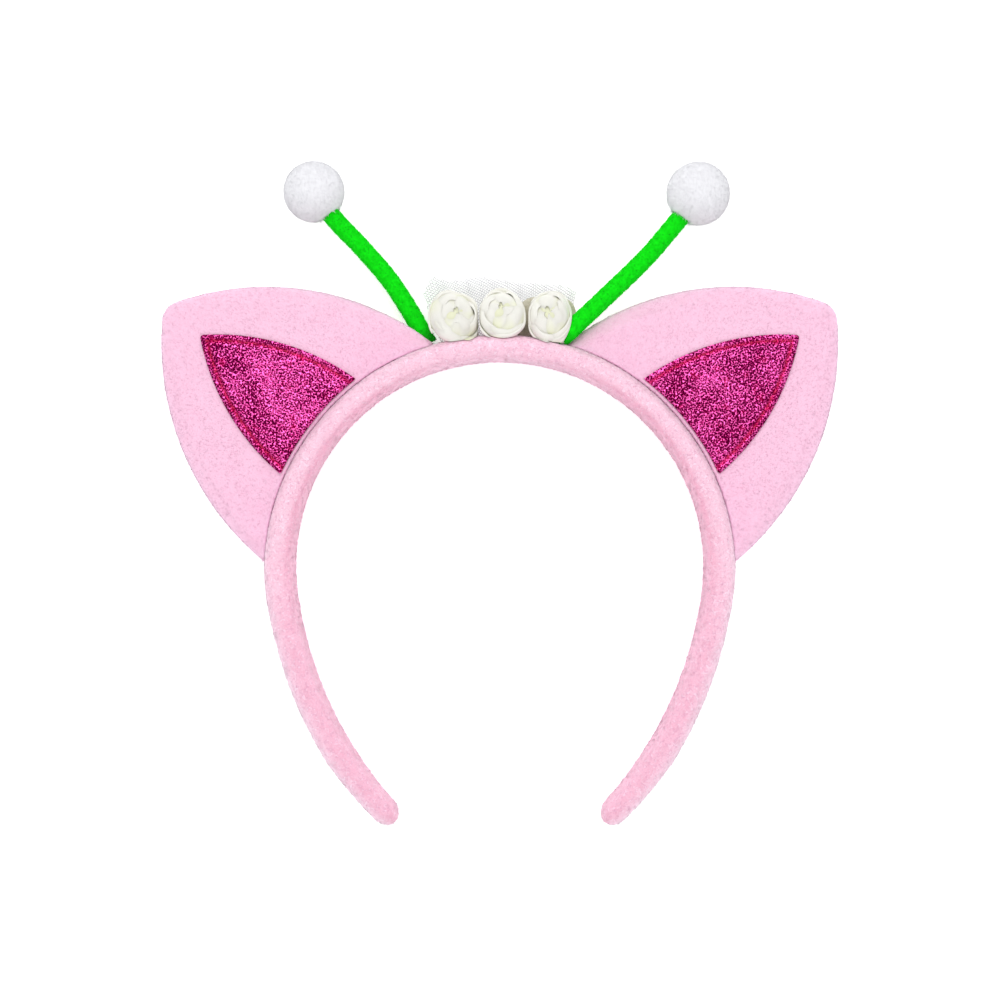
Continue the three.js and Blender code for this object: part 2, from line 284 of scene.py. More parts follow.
# %% Making a piece
def add_piece(name, points, faces, finish, replaces=(), smooth=True, stored=None):
    """An object from millimetre points around the crown's centre."""
    mesh = bpy.data.meshes.new(name)
    mesh.from_pydata(to_frame(points).tolist(), [], [list(map(int, face)) for face in faces])
    mesh.polygons.foreach_set("use_smooth", [smooth] * len(mesh.polygons))
    mesh.materials.append(finish.material)
    for label, values in (stored or {}).items():
        layer = mesh.attributes.new(label, "FLOAT", "POINT")
        layer.data.foreach_set("value", np.asarray(values, np.float32))
    piece = bpy.data.objects.new(name, mesh)
    scene.collection.objects.link(piece)
    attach(piece, "root")
    if replaces:
        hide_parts(*replaces)
    print(name, "points", len(mesh.vertices), "faces", len(mesh.polygons))
    return piece


print("solids to dress:", len(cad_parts))

# %% [markdown]
# Several pieces share a little geometry: directions, triangles, the outward direction at every point,
# and the faces of a tube and of a slab. Blender has tools for these too, but arrays of numbers are
# quick, and the order of the points stays known, so values can be stored on them.

# %% Shared geometry
def unit(vectors):
    """The same directions with length 1."""
    length = np.linalg.norm(vectors, axis=-1, keepdims=True)
    return vectors / np.maximum(length, 1e-9)


def fan(faces):
    """Triangles for faces of any number of corners."""
    return np.array([(f[0], f[i], f[i + 1]) for f in faces for i in range(1, len(f) - 1)])


def point_normals(points, triangles):
    """The outward direction at every point, averaged from its triangles."""
    a, b, c = (points[triangles[:, i]] for i in range(3))
    across = np.cross(b - a, c - a)
    total = np.zeros_like(points)
    for i in range(3):
        np.add.at(total, triangles[:, i], across)
    return unit(total)


def tube_faces(rows, columns):
    """Quads between the rings of a tube, and one face over each end."""
    faces = []
    for r in range(rows - 1):
        for c in range(columns):
            here = r * columns + c
            beside = r * columns + (c + 1) % columns
            faces.append((here, beside, beside + columns, here + columns))
    faces.append(tuple(range(columns - 1, -1, -1)))
    faces.append(tuple(range((rows - 1) * columns, rows * columns)))
    return faces


def slab_faces(net, rim_count, count):
    """Two layers of one net with a wall round the rim, whose points come first in each layer."""
    faces = [*net.tolist(), *(net[:, ::-1] + count).tolist()]
    for here in range(rim_count):
        after = (here + 1) % rim_count
        faces.append((here, after, after + count, here + count))
    return faces


print("mesh helpers are ready")

# %% [markdown]
# Pile is thousands of short fibres. Blender's hair would draw them, but a mesh stays with the part
# when it is exported, so each fibre here is a thin closed spike of four triangles. They are sown by
# area over the skin's triangles, and they take the skin's normals, so a dense pile shades softly.

# %% Sowing pile
def sow(points, triangles, count, chance, marks):
    """Places spread evenly over a skin, with the outward direction and the skin's mark at each."""
    a, b, c = (points[triangles[:, i]] for i in range(3))
    area = np.linalg.norm(np.cross(b - a, c - a), axis=1)
    pick = np.searchsorted(np.cumsum(area) / area.sum(), chance.random(count))
    pick = pick.clip(0, len(triangles) - 1)
    u, v = chance.random((2, count))
    over = u + v > 1
    u = np.where(over, 1 - u, u)[:, None]
    v = np.where(over, 1 - v, v)[:, None]
    shares = np.stack([1 - u - v, u, v], axis=1)
    corners = triangles[pick]
    roots = (points[corners] * shares).sum(axis=1)
    normals = (point_normals(points, triangles)[corners] * shares).sum(axis=1)
    return roots, unit(normals), (marks[corners] * shares[..., 0]).sum(axis=1)


SPIKE_POINTS = 4
SPIKE_FACES = np.array([(0, 1, 3), (1, 2, 3), (2, 0, 3), (2, 1, 0)])
SPIKE_CORNERS = np.array([(0, 0), (1, 0), (1, 1), (0, 1)])
SPIKE_MIDDLE = np.array([0.5, 0.5])
SPIKE_ROOM = 0.9


def spikes(roots, tips, width, chance):
    """Points and faces of one thin closed spike from each root to its tip."""
    ahead = unit(tips - roots)
    side = unit(np.cross(ahead, chance.normal(size=roots.shape)))
    other = np.cross(ahead, side)
    turns = [math.radians(120 * k) for k in range(3)]
    feet = [roots + width[:, None] / 2 * (math.cos(t) * side + math.sin(t) * other) for t in turns]
    points = np.stack([*feet, tips], axis=1).reshape(-1, 3)
    faces = (np.arange(len(roots))[:, None, None] * SPIKE_POINTS + SPIKE_FACES).reshape(-1, 3)
    return points, faces


def lay_out_spikes(piece, count):
    """A flat map with one small square for each spike, in which its four faces lie side by side."""
    wide = math.ceil(math.sqrt(count))
    square = np.array([
        [SPIKE_CORNERS[k], SPIKE_CORNERS[(k + 1) % 4], SPIKE_MIDDLE] for k in range(4)
    ])
    square = (square - SPIKE_MIDDLE) * SPIKE_ROOM + SPIKE_MIDDLE
    cell = np.stack([np.arange(count) % wide, np.arange(count) // wide], axis=1)
    places = (cell[:, None, None, :] + square) / wide
    layer = piece.data.uv_layers.new(name="OFBake")
    layer.data.foreach_set("uv", places.astype(np.float32).ravel())


def add_pile(name, roots, tips, width, normals, shade, finish, slot, chance):
    """A piece of spikes that shade like the skin under them, with each one's tone and its tip marked."""
    points, faces = spikes(roots, tips, width, chance)
    marks = {"tip": np.tile([0.0, 0.0, 0.0, 1.0], len(roots)), "shade": np.repeat(shade, SPIKE_POINTS)}
    piece = add_piece(name, points, faces, finish, stored=marks)
    piece.data.normals_split_custom_set_from_vertices(np.repeat(normals, SPIKE_POINTS, axis=0).tolist())
    lay_out_spikes(piece, len(roots))
    return piece


print("faces in a spike:", len(SPIKE_FACES))

# %% [markdown]
# The plush is a short velour. Every point of the skin has a stored shade, which paints light and shade
# into the pink: a deeper pink is painted shade, a paler one painted sheen and highlight. Seen close,
# each fibre is a little lighter or darker than the next, and tiny mauve specks show where the pile parts.
# Short curled marks, where it was brushed aside, have a painted shade on one side and a painted highlight on
# the other.

# %% Plush finish
CRUSH_SHARE = 0.3
MARK_WIDTH = (0.0006, 0.005)
MARK_HIGHLIGHT_BESIDE = 0.1
MAUVE_SPECK_AND_MARK_SHADE = dye(216, 152, 184)


def plush_finish(name, deep, pale, specks, grain, marks):
    """Velour: a stored painted shade, softly crushed lumps, a fine grain, parted specks and curled marks of
    painted shade and highlight.
    """
    plush = Finish(name, Roughness=0.95, Sheen_Weight=0.08, Sheen_Roughness=0.45, Specular_IOR_Level=0.1)
    crushed = plush.lumps(4.5, detail=3.0) - 0.5
    fine = plush.lumps(0.45) - 0.5
    bend = plush.lumps(1.5) - 0.5
    broken = plush.step(plush.lumps(1.05), low=0.45, high=0.6) * marks
    # Curled marks are painted light: a painted shade along one line and a painted highlight beside it.
    mark_painted_shade = broken * (1 - plush.step(bend * bend, *MARK_WIDTH))
    beside = bend - MARK_HIGHLIGHT_BESIDE
    mark_painted_highlight = broken * (1 - plush.step(beside * beside, *MARK_WIDTH))
    # The stored shade is painted light and shade, set for each piece below.
    shade = plush.stored("shade") + crushed * CRUSH_SHARE + fine * grain + mark_painted_highlight
    ground = plush.blend(shade, deep, pale)
    parted = plush.step(plush.lumps(0.62), low=0.58, high=0.68)
    patch = plush.step(plush.lumps(6.0), low=0.42, high=0.62)
    # The real mauve specks and the painted shade of the curled marks.
    dark = parted * patch * specks + mark_painted_shade
    plush.show("Base Color", plush.blend(dark, ground, MAUVE_SPECK_AND_MARK_SHADE))
    plush.relief(plush.lumps(0.4, detail=2.0), depth=0.12, strength=0.5)
    return plush


band_plush = plush_finish("band_plush", deep=dye(240, 176, 200), pale=dye(253, 224, 240),
                          specks=0.4, grain=0.7, marks=0.32)
ear_plush = plush_finish("ear_plush", deep=dye(241, 182, 208), pale=dye(250, 211, 235),
                         specks=0.32, grain=0.55, marks=0.1)
print("plush finishes:", band_plush.material.name, ear_plush.material.name)

# %% [markdown]
# The band is a foam strip in a tube of plush. Its inner face is one arc round the head that runs on
# into two flatter arcs down the legs. Both are plain circles, so a distance from the crown is enough to
# find any place on that line.

# %% The line of the band
HEAD_RADIUS = 61.6
CROWN_TURN = math.radians(98)
LEG_RADIUS = 117.0
LEG_TURN = math.radians(36.3)
CROWN_LENGTH = HEAD_RADIUS * CROWN_TURN
HALF_LENGTH = CROWN_LENGTH + LEG_RADIUS * LEG_TURN


def band_line(way):
    """The inner face at distances from the crown, and the outward direction there."""
    side = np.where(way < 0, -1.0, 1.0)
    far = np.abs(way)
    on_leg = far > CROWN_LENGTH
    turn = np.where(on_leg, CROWN_TURN + (far - CROWN_LENGTH) / LEG_RADIUS, far / HEAD_RADIUS)
    radius = np.where(on_leg, LEG_RADIUS, HEAD_RADIUS)
    shift = np.where(on_leg, HEAD_RADIUS - LEG_RADIUS, 0.0)
    out = np.stack([side * np.sin(turn), np.cos(turn)], axis=-1)
    centre = np.stack([side * shift * math.sin(CROWN_TURN), shift * math.cos(CROWN_TURN)], axis=-1)
    return centre + radius[..., None] * out, out


print("length of the inner face:", round(2 * HALF_LENGTH, 1))

# %% [markdown]
# A tube along that line could be a bevelled curve, but its section is not round: the outside is a fuller
# curve than the side that lies on the head. So each ring is a squared ellipse, thicker half way down
# and narrower at the tips.

# %% The section of the band
BAND_DEPTH = 20.0
REST_FLAT = 0.93
HALF_DEPTH = BAND_DEPTH / (1 + REST_FLAT)
MIDDLE_Z = HALF_DEPTH * REST_FLAT
OUTER_ROUNDNESS = 2.4
INNER_ROUNDNESS = 3.6
TIP_ROUND = 4.5
# Share of the way to a tip, thickness, share of the full depth.
BAND_STATIONS = np.array([
    (0.0, 7.7, 1.0), (0.32, 7.8, 1.0), (0.55, 8.8, 1.0),
    (0.66, 8.5, 1.0), (0.86, 8.4, 0.94), (1.0, 6.9, 0.74),
])


def signed_power(value, power):
    return np.sign(value) * np.abs(value) ** power


def band_thickness(way):
    return np.interp(np.abs(way) / HALF_LENGTH, BAND_STATIONS[:, 0], BAND_STATIONS[:, 1])


def band_skin(way, angle):
    """Points of the band's skin. The angle is 0 outside, a quarter turn at the front."""
    thick = band_thickness(way)
    deep = np.interp(np.abs(way) / HALF_LENGTH, BAND_STATIONS[:, 0], BAND_STATIONS[:, 2])
    inside = np.clip((HALF_LENGTH - np.abs(way)) / TIP_ROUND, 0, 1)
    end = np.sqrt(1 - (1 - inside) ** 2)
    power = 2 / np.where(np.cos(angle) > 0, OUTER_ROUNDNESS, INNER_ROUNDNESS)
    outward = signed_power(np.cos(angle), power) * end
    front = np.maximum(-REST_FLAT, signed_power(np.sin(angle), power)) * end
    line, out = band_line(way)
    flat = line + out * (thick / 2 * (1 + outward))[..., None]
    return np.concatenate([flat, (MIDDLE_Z + front * HALF_DEPTH * deep)[..., None]], axis=-1)


print("thickness at the crown and at the tip:", band_thickness(np.array([0.0, HALF_LENGTH])))

# %% [markdown]
# The rings stand about a millimetre apart, and the points of a ring are spaced evenly round it. That
# is fine enough for the creases and the lumps of the nap. The tips close in a quarter round.

# %% Band skin
BAND_SIDES = 60
BAND_RINGS = 360
TIP_STEPS = 9
TIP_LAST = 0.004
SECTION_STEPS = 2881


def way_along(points):
    """How far along a row of points each of them lies."""
    return np.concatenate([[0], np.cumsum(np.linalg.norm(np.diff(points, axis=0), axis=1))])


def even_angles(count):
    """Angles whose points are evenly spaced round a section in the middle of the band."""
    fine = np.linspace(0, 2 * math.pi, SECTION_STEPS)
    way = way_along(band_skin(np.zeros_like(fine), fine))
    return np.interp(np.arange(count) / count * way[-1], way, fine)


body_way = np.linspace(TIP_ROUND - HALF_LENGTH, HALF_LENGTH - TIP_ROUND, BAND_RINGS)
tip_turn = np.linspace(0, math.pi / 2, TIP_STEPS + 1)[1:]
tip_way = HALF_LENGTH - TIP_ROUND + TIP_ROUND * (1 - TIP_LAST) * np.sin(tip_turn)
ring_way = np.concatenate([-tip_way[::-1], body_way, tip_way])
ring_angle = even_angles(BAND_SIDES)
way_grid, angle_grid = np.meshgrid(ring_way, ring_angle, indexing="ij")
band_points = band_skin(way_grid, angle_grid).reshape(-1, 3)
band_faces = tube_faces(len(ring_way), BAND_SIDES)
print("rings and sides:", len(ring_way), BAND_SIDES)

# %% [markdown]
# The plush is stretched over the outside and a little slack inside, so shallow creases run across the
# inner face. On top of that the nap is lumpy by a tenth of a millimetre. Both are small moves of the
# points along their normals. The underside stays flat, because that is where the band rests. Two tables
# paint light and shade from the inner face to the outer one, at the crown and on the legs: painted shade
# on the inner side and painted sheen at the outer edge. Near the top of the crown the inner face has
# painted light, which makes it paler still.

# %% Creases and nap of the band
CREASE = {"depth": 0.07, "spacing": 5.5, "drift": 0.8, "drift_size": 9.0, "round": 4, "fade": 8.0, "seed": 3}
NAP_DEPTH = 0.12
# Size of the lumps, their share and their seed.
NAP_LUMPS = ((1.7, 1.0, 11), (0.9, 0.5, 12))
NAP_WHOLE = sum(row[1] for row in NAP_LUMPS)
REST_BELOW = 0.05
# Share of the way from the inner face to the outer one, and how pale it is painted there: low is painted
# shade, high painted sheen.
PAINTED_SHADE_AT_CROWN = (
    (0.0, 0.35), (0.16, 0.15), (0.28, 0.15), (0.36, 0.42), (0.5, 0.5), (0.85, 0.58), (1.0, 0.8),
)
PAINTED_SHADE_ON_LEG = (
    (0.0, 0.4), (0.2, 0.32), (0.35, 0.2), (0.5, 0.22), (0.6, 0.38), (0.8, 0.62), (0.92, 0.9), (1.0, 1.1),
)
PAINTED_SHADE_TURNS = (85.0, 120.0)
TOP_PAINTED_LIGHT = {"most": 0.35, "reach": 42.0, "along": 1.5, "below": 0.4, "across": 3.0}
way_flat = way_grid.ravel()
angle_flat = angle_grid.ravel()
band_triangles = fan(band_faces)
band_out = point_normals(band_points, band_triangles)
slack = np.clip(-np.cos(angle_flat), 0, 1)
unrolled = np.stack([way_flat, angle_flat * CREASE["round"], 0 * way_flat], axis=1)
drift = CREASE["drift"] * lumps_at(unrolled, CREASE["drift_size"], CREASE["seed"])
crease = np.clip(np.cos(2 * math.pi * (way_flat / CREASE["spacing"] + drift)), 0, 1) ** 3
fade = np.clip((HALF_LENGTH - np.abs(way_flat)) / CREASE["fade"], 0, 1)
nap = sum(share * lumps_at(band_points, size, seed) for size, share, seed in NAP_LUMPS)
lift = NAP_DEPTH * nap / NAP_WHOLE
lift -= CREASE["depth"] * crease * slack * fade
lift = np.where(band_points[:, 2] < REST_BELOW, np.minimum(lift, 0), lift)
band_points = band_points + band_out * lift[:, None]
band_points[:, 2] = np.maximum(band_points[:, 2], 0)
across = (1 + signed_power(np.cos(angle_flat), 2 / OUTER_ROUNDNESS)) / 2
on_leg = np.clip((np.abs(way_flat) - PAINTED_SHADE_TURNS[0]) / (PAINTED_SHADE_TURNS[1] - PAINTED_SHADE_TURNS[0]), 0, 1)
# Painted shade on the inner side, painted sheen towards the outer edge.
crown_painted_shade = np.interp(across, *zip(*PAINTED_SHADE_AT_CROWN))
band_painted_shade = crown_painted_shade + (np.interp(across, *zip(*PAINTED_SHADE_ON_LEG)) - crown_painted_shade) * on_leg
# Painted light on the inner face near the top of the crown.
near_top = np.clip(TOP_PAINTED_LIGHT["along"] * (1 - np.abs(way_flat) / TOP_PAINTED_LIGHT["reach"]), 0, 1)
inner_edge = np.clip(TOP_PAINTED_LIGHT["across"] * (1 - across / TOP_PAINTED_LIGHT["below"]), 0, 1)
band_painted_shade += TOP_PAINTED_LIGHT["most"] * near_top * inner_edge
band = add_piece("band_cover", band_points, band_faces, band_plush, ["band"],
                 stored={"shade": band_painted_shade})
print("band box:", band_points.min(axis=0).round(2), band_points.max(axis=0).round(2))

# %% [markdown]
# The pile of the band lies along it, brushed towards the tips. Most of it stands up by less than a third
# of a millimetre, so the outline stays clean. Fibres that would come too near the floor are left out.

# %% Band pile
BAND_FIBRES = 30000
BAND_PILE_SEED = 21
PLUSH_FIBRE = {"length": 0.75, "spread": 0.3, "rise": 0.42, "width": 0.2, "sink": 0.06, "uneven": 0.3}
LENGTH_RANGE = (0.6, 1.2)
UNEVEN_RANGE = (0.7, 1.3)
FLOOR_CLEAR = 0.1


def lay_pile(name, points, triangles, shade, count, comb, finish, seed, keep=None):
    """Short fibres over a skin, combed along the directions that comb gives for their roots."""
    chance = np.random.default_rng(seed)
    roots, normals, shade = sow(points, triangles, count, chance, shade)
    shade = shade + PLUSH_FIBRE["uneven"] * chance.normal(size=count)
    along = comb(roots)
    along = unit(along - normals * (along * normals).sum(axis=1, keepdims=True))
    wild = chance.normal(size=(count, 3)) * PLUSH_FIBRE["spread"]
    lean = unit(along + PLUSH_FIBRE["rise"] * normals + wild)
    length = PLUSH_FIBRE["length"] * chance.uniform(*LENGTH_RANGE, count)
    width = PLUSH_FIBRE["width"] * chance.uniform(*UNEVEN_RANGE, count)
    roots = roots - PLUSH_FIBRE["sink"] * normals
    tips = roots + lean * length[:, None]
    kept = np.ones(count, bool) if keep is None else keep(roots, tips)
    parts = [values[kept] for values in (roots, tips, width, normals, shade)]
    return add_pile(name, *parts, finish, "plush_pink", chance)


def band_comb(roots):
    """Down both legs from the crown, across the line from the crown's centre."""
    out = unit(roots * (1, 1, 0))
    down = np.stack([out[:, 1], -out[:, 0], 0 * out[:, 0]], axis=1)
    return down * np.where(roots[:, :1] < 0, -1, 1)


def above_floor(roots, tips):
    return np.minimum(roots[:, 2], tips[:, 2]) > FLOOR_CLEAR


lay_pile("band_pile", band_points, band_triangles, band_painted_shade, BAND_FIBRES, band_comb,
         band_plush, BAND_PILE_SEED, above_floor)

# %% [markdown]
# Every piece that sits on the band has to stay clear of its skin. The squared ellipse of the section
# also tells how far a point is from it, so points that fall inside can be moved out.

# %% Room round the band
BAND_ROOM = 1.06


def band_reach(points):
    """Under 1 inside the band near the crown, 1 on its skin, more outside."""
    flat = np.linalg.norm(points[:, :2], axis=1)
    turn = np.abs(np.arctan2(points[:, 0], points[:, 1]))
    half = band_thickness(turn * HEAD_RADIUS) / 2
    u = (flat - HEAD_RADIUS - half) / half
    v = (points[:, 2] - MIDDLE_Z) / HALF_DEPTH
    power = np.where(u > 0, OUTER_ROUNDNESS, INNER_ROUNDNESS)
    return (np.abs(u) ** power + np.abs(v) ** power) ** (1 / power), u, v, half


def clear_of_band(points, room=BAND_ROOM):
    """Points inside the band's skin, moved out to just above it."""
    reach, u, v, half = band_reach(points)
    grow = np.maximum(1, room / np.maximum(reach, 1e-6))
    flat = HEAD_RADIUS + half + half * u * grow
    out = unit(points[:, :2]) * flat[:, None]
    moved = np.column_stack([out, MIDDLE_Z + v * grow * HALF_DEPTH])
    return np.where((reach < room)[:, None], moved, points)


crown_skin = np.array([[0, HEAD_RADIUS + BAND_STATIONS[0, 1], MIDDLE_Z]])
print("reach at the crown's skin:", band_reach(crown_skin)[0])

# %% [markdown]
# The stems come before the ears, because the ears make room for them. Each stem bends gently from the
# band to its pompom, and a curve through a few points gives that line.

# %% Lines of the stems
STEM_RADIUS = 2.95
STEM_STEPS = 160
CURVE_STEPS = 40
STEM_POINTS = {
    "left": [(-20.6, 65.6, 4.8), (-23.4, 70.5, 4.8), (-27.3, 77.4, 5.2), (-33.5, 86.7, 7.0),
             (-41.9, 96.3, 8.8), (-47.4, 101.9, 9.6), (-52.2, 107.3, 10.2)],
    "right": [(16.4, 67.3, 14.2), (19.9, 69.6, 13.3), (23.4, 72.9, 12.6), (28.2, 77.4, 12.0),
              (42.8, 91.5, 10.8), (50.6, 100.4, 10.4), (55.4, 106.2, 10.2)],
}


def places_along(points, stops):
    """Places at these distances along a row of points."""
    way = way_along(points)
    return np.stack([np.interp(stops, way, column) for column in points.T], axis=1)


def smooth_line(knots, count):
    """Evenly spaced points on a smooth curve through the knots."""
    knots = np.asarray(knots, float)
    ends = np.vstack([2 * knots[0] - knots[1], knots, 2 * knots[-1] - knots[-2]])
    share = np.linspace(0, 1, CURVE_STEPS, endpoint=False)[:, None]
    parts = []
    for a, b, c, d in zip(ends, ends[1:], ends[2:], ends[3:]):
        bow = 2 * a - 5 * b + 4 * c - d + share * (3 * (b - c) + d - a)
        parts.append(b + share / 2 * (c - a + share * bow))
    curve = np.vstack([*parts, knots[-1:]])
    return places_along(curve, np.linspace(0, way_along(curve)[-1], count))


def nearest_on(line, points):
    """For each point the nearest point of a line, and the distance to it."""
    far = np.linalg.norm(points[:, None, :] - line[None, :, :], axis=2)
    pick = far.argmin(axis=1)
    return line[pick], far[np.arange(len(points)), pick]


STEM_LINES = {side: smooth_line(knots, STEM_STEPS) for side, knots in STEM_POINTS.items()}
print("stem lengths:", {side: round(float(way_along(line)[-1]), 1) for side, line in STEM_LINES.items()})

# %% [markdown]
# An ear is cut as a pointed arch: two side arcs spring from the band and meet in a small round tip. The
# side towards the leg flares a little where it meets the band, and the foot follows the outside of the
# band. The outline is worked out from these arcs, so that the glitter panel can use the same function.

# %% Patterns of the ears
SIDES = {"left": 1, "right": -1}
SEAT_GAP = 0.3
EAR_SEAT = 0.1
EAR_LEAN = math.radians(52.3)
EAR_STEP = 0.9
EAR_ARCH = {"radius": 82.0, "centre": 41.2, "spring": 56.6, "tip": 6.5, "flare": 1.3}


def on_circle(turn):
    """Flat points on a circle of radius 1 at these angles."""
    return np.stack([np.cos(turn), np.sin(turn)], axis=1)


def arc_points(centre, radius, start, end, spacing):
    count = max(3, math.ceil(abs(end - start) * radius / spacing))
    turn = np.linspace(start, end, count + 1)
    return np.array(centre) + radius * on_circle(turn)


def band_outside(points, gap):
    """Distance from the crown's centre to just clear of the band, in the direction of each point."""
    turn = np.abs(np.arctan2(points[:, 0], points[:, 1]))
    return HEAD_RADIUS + band_thickness(turn * HEAD_RADIUS) + gap


def flat_turn(angle):
    """A matrix that turns rows of flat points."""
    return np.array([[math.cos(angle), math.sin(angle)], [-math.sin(angle), math.cos(angle)]])


def arch_outline(arch, lean, spacing, gap):
    """The closed outline of a panel that stands this far off the band, leaning to one side."""
    away = arch["radius"] - arch["tip"]
    tip_y = arch["spring"] + math.sqrt(away ** 2 - arch["centre"] ** 2)
    turn = math.atan2(tip_y - arch["spring"], -arch["centre"])
    middle = (arch["centre"], arch["spring"])
    left = arc_points(middle, arch["radius"], math.pi, turn, spacing)
    tip = arc_points((0, tip_y), arch["tip"], turn, math.pi - turn, spacing)
    right = left[::-1] * (-1, 1)
    flare = arch["flare"] * np.linspace(1, 0, len(left)) ** 2
    if lean > 0:
        left[:, 0] -= flare
    else:
        right[:, 0] += flare[::-1]
    arches = np.vstack([left, tip[1:-1], right])
    arches = arches @ flat_turn(lean)
    free = arches[np.linalg.norm(arches, axis=1) > band_outside(arches, gap)]
    ends = np.arctan2(free[[-1, 0], 0], free[[-1, 0], 1])
    count = math.ceil(abs(ends[1] - ends[0]) * HEAD_RADIUS / spacing)
    foot_turn = np.linspace(*ends, count + 1)
    foot = np.stack([np.sin(foot_turn), np.cos(foot_turn)], axis=1)
    foot = foot * band_outside(foot, gap)[:, None]
    return np.vstack([free, foot[1:-1]])


print("points of an ear's outline:", len(arch_outline(EAR_ARCH, EAR_LEAN, EAR_STEP, EAR_SEAT)))

# %% [markdown]
# Before a pattern can be filled, two questions about a flat point need an answer: how far is it from the
# rim, and does it lie inside? The first takes the nearest of all the outline's edges. The second counts
# how often a level line from the point crosses the outline.

# %% Inside a pattern
SQUARE = np.array([(0.0, 0.0), (1.0, 0.0), (1.0, 1.0), (0.0, 1.0)])


def rim_distance(outline, points, closed=True):
    """How far each point is from an outline, which may be left open between its ends."""
    nearest = np.full(len(points), np.inf)
    ends = np.roll(outline, -1, axis=0)
    for start, end in zip(outline if closed else outline[:-1], ends):
        edge = end - start
        share = np.clip((points - start) @ edge / (edge @ edge), 0, 1)
        gap = np.linalg.norm(points - start - share[:, None] * edge, axis=1)
        nearest = np.minimum(nearest, gap)
    return nearest


def inside(outline, points):
    """Which points lie inside an outline."""
    crossings = np.zeros(len(points), int)
    for start, end in zip(outline, np.roll(outline, -1, axis=0)):
        spans = (start[1] > points[:, 1]) != (end[1] > points[:, 1])
        rise = end[1] - start[1] if end[1] != start[1] else 1e-12
        reach = start[0] + (points[:, 1] - start[1]) * (end[0] - start[0]) / rise
        crossings += spans & (points[:, 0] < reach)
    return crossings % 2 == 1


print("a square's middle, from its rim:", rim_distance(SQUARE, SQUARE.mean(axis=0)[None, :]))

# %% [markdown]
# Cloth moves evenly only on an even net. The pattern is filled with triangles of one size, with a few
# extra rows near the rim, where the cloth turns over. Blender's Delaunay function joins the points.

# %% Filling a pattern
RIM_ROOM = 0.6
ROW_KEEP = 0.93


def inward_of(outline):
    """The direction into the pattern at each point of an outline."""
    ahead = unit(np.roll(outline, -1, axis=0) - np.roll(outline, 1, axis=0))
    left = np.stack([-ahead[:, 1], ahead[:, 0]], axis=1)
    turns_left = np.sign((outline[:, 0] * np.roll(outline[:, 1], -1)
                          - outline[:, 1] * np.roll(outline[:, 0], -1)).sum())
    return left * turns_left


def fill_pattern(outline, spacing, rows=()):
    """An even net of triangles inside an outline, whose own points come first."""
    low = outline.min(axis=0)
    high = outline.max(axis=0)
    across = np.arange(low[0], high[0], spacing)
    up = np.arange(low[1], high[1], spacing * math.sqrt(3) / 2)
    x, y = np.meshgrid(across, up)
    x = x + spacing / 2 * (np.arange(len(up)) % 2)[:, None]
    net = np.stack([x.ravel(), y.ravel()], axis=1)
    net = net[inside(outline, net)]
    clear = (rows[-1] if rows else 0) + spacing * RIM_ROOM
    parts = [outline]
    for inset in rows:
        row = outline + inward_of(outline) * inset
        parts.append(row[rim_distance(outline, row) > inset * ROW_KEEP])
    parts.append(net[rim_distance(outline, net) > clear])
    points = np.vstack(parts)
    loop = [(i, (i + 1) % len(outline)) for i in range(len(outline))]
    found = geometry.delaunay_2d_cdt([Vector(p) for p in points], loop, [], 1, 1e-7)
    return np.array([tuple(p) for p in found[0]]), np.array([tuple(f) for f in found[2]])


print("inward at the corner of a square:", inward_of(SQUARE)[0])

# %% [markdown]
# Two plush panels are sewn together round the rim and turned, with thin wadding between them. The
# layers share the rim, which is the seam. Blender's cloth then blows the pair up like a pillow: the
# seam is pinned, pressure pushes the layers apart, and a cap keeps each point close to where it was.
# The solver is made for cushions, so the copy that it works on is ten times larger. At the foot the
# front layer leans and rises against the band, as sewn plush does, so that no gap shows there.

# %% Sewing and filling the ears
EAR_HALF = 1.5
EAR_TURN_OVER = 2.1
FOOT_TURN_OVER = 0.5
FOOT_RISE = {"height": 1.4, "width": 0.8}
FOOT_LEAN = {"near": 0.37, "from": 0.3, "width": 0.5}
EAR_ROOM = 1.025
PUFF_SCALE = 10
PUFF_FRAMES = 20
PUFF_PRESSURE = 4.0
PUFF_CAP = 0.55


def sew_pair(outline, pattern, net):
    """Two layers over one pattern, which share the points of the rim. Returns points, faces, rim."""
    rim = rim_distance(outline, pattern) < 1e-4
    arch = outline[np.linalg.norm(outline, axis=1) > band_outside(outline, 2 * EAR_SEAT)]
    from_foot = np.linalg.norm(pattern, axis=1) - band_outside(pattern, EAR_SEAT)
    depth = np.minimum(rim_distance(arch, pattern, False) / EAR_TURN_OVER, from_foot / FOOT_TURN_OVER)
    turned = 1 - np.clip(depth, 0, 1)
    height = EAR_HALF * np.sqrt(1 - turned ** 2)
    rise = FOOT_RISE["height"] * np.exp(-np.maximum(from_foot, 0) / FOOT_RISE["width"]) * ~rim
    lean = FOOT_LEAN["near"] * np.exp(-((from_foot - FOOT_LEAN["from"]) / FOOT_LEAN["width"]) ** 2) * ~rim
    front = np.column_stack([pattern - unit(pattern) * lean[:, None], MIDDLE_Z + height + rise])
    back = np.column_stack([pattern, MIDDLE_Z - height])
    behind = np.where(rim, np.arange(len(pattern)), 0)
    behind[~rim] = len(pattern) + np.arange((~rim).sum())
    points = np.vstack([front, back[~rim]])
    faces = np.vstack([net, behind[net][:, ::-1]])
    return points, faces, np.concatenate([rim, np.zeros((~rim).sum(), bool)])


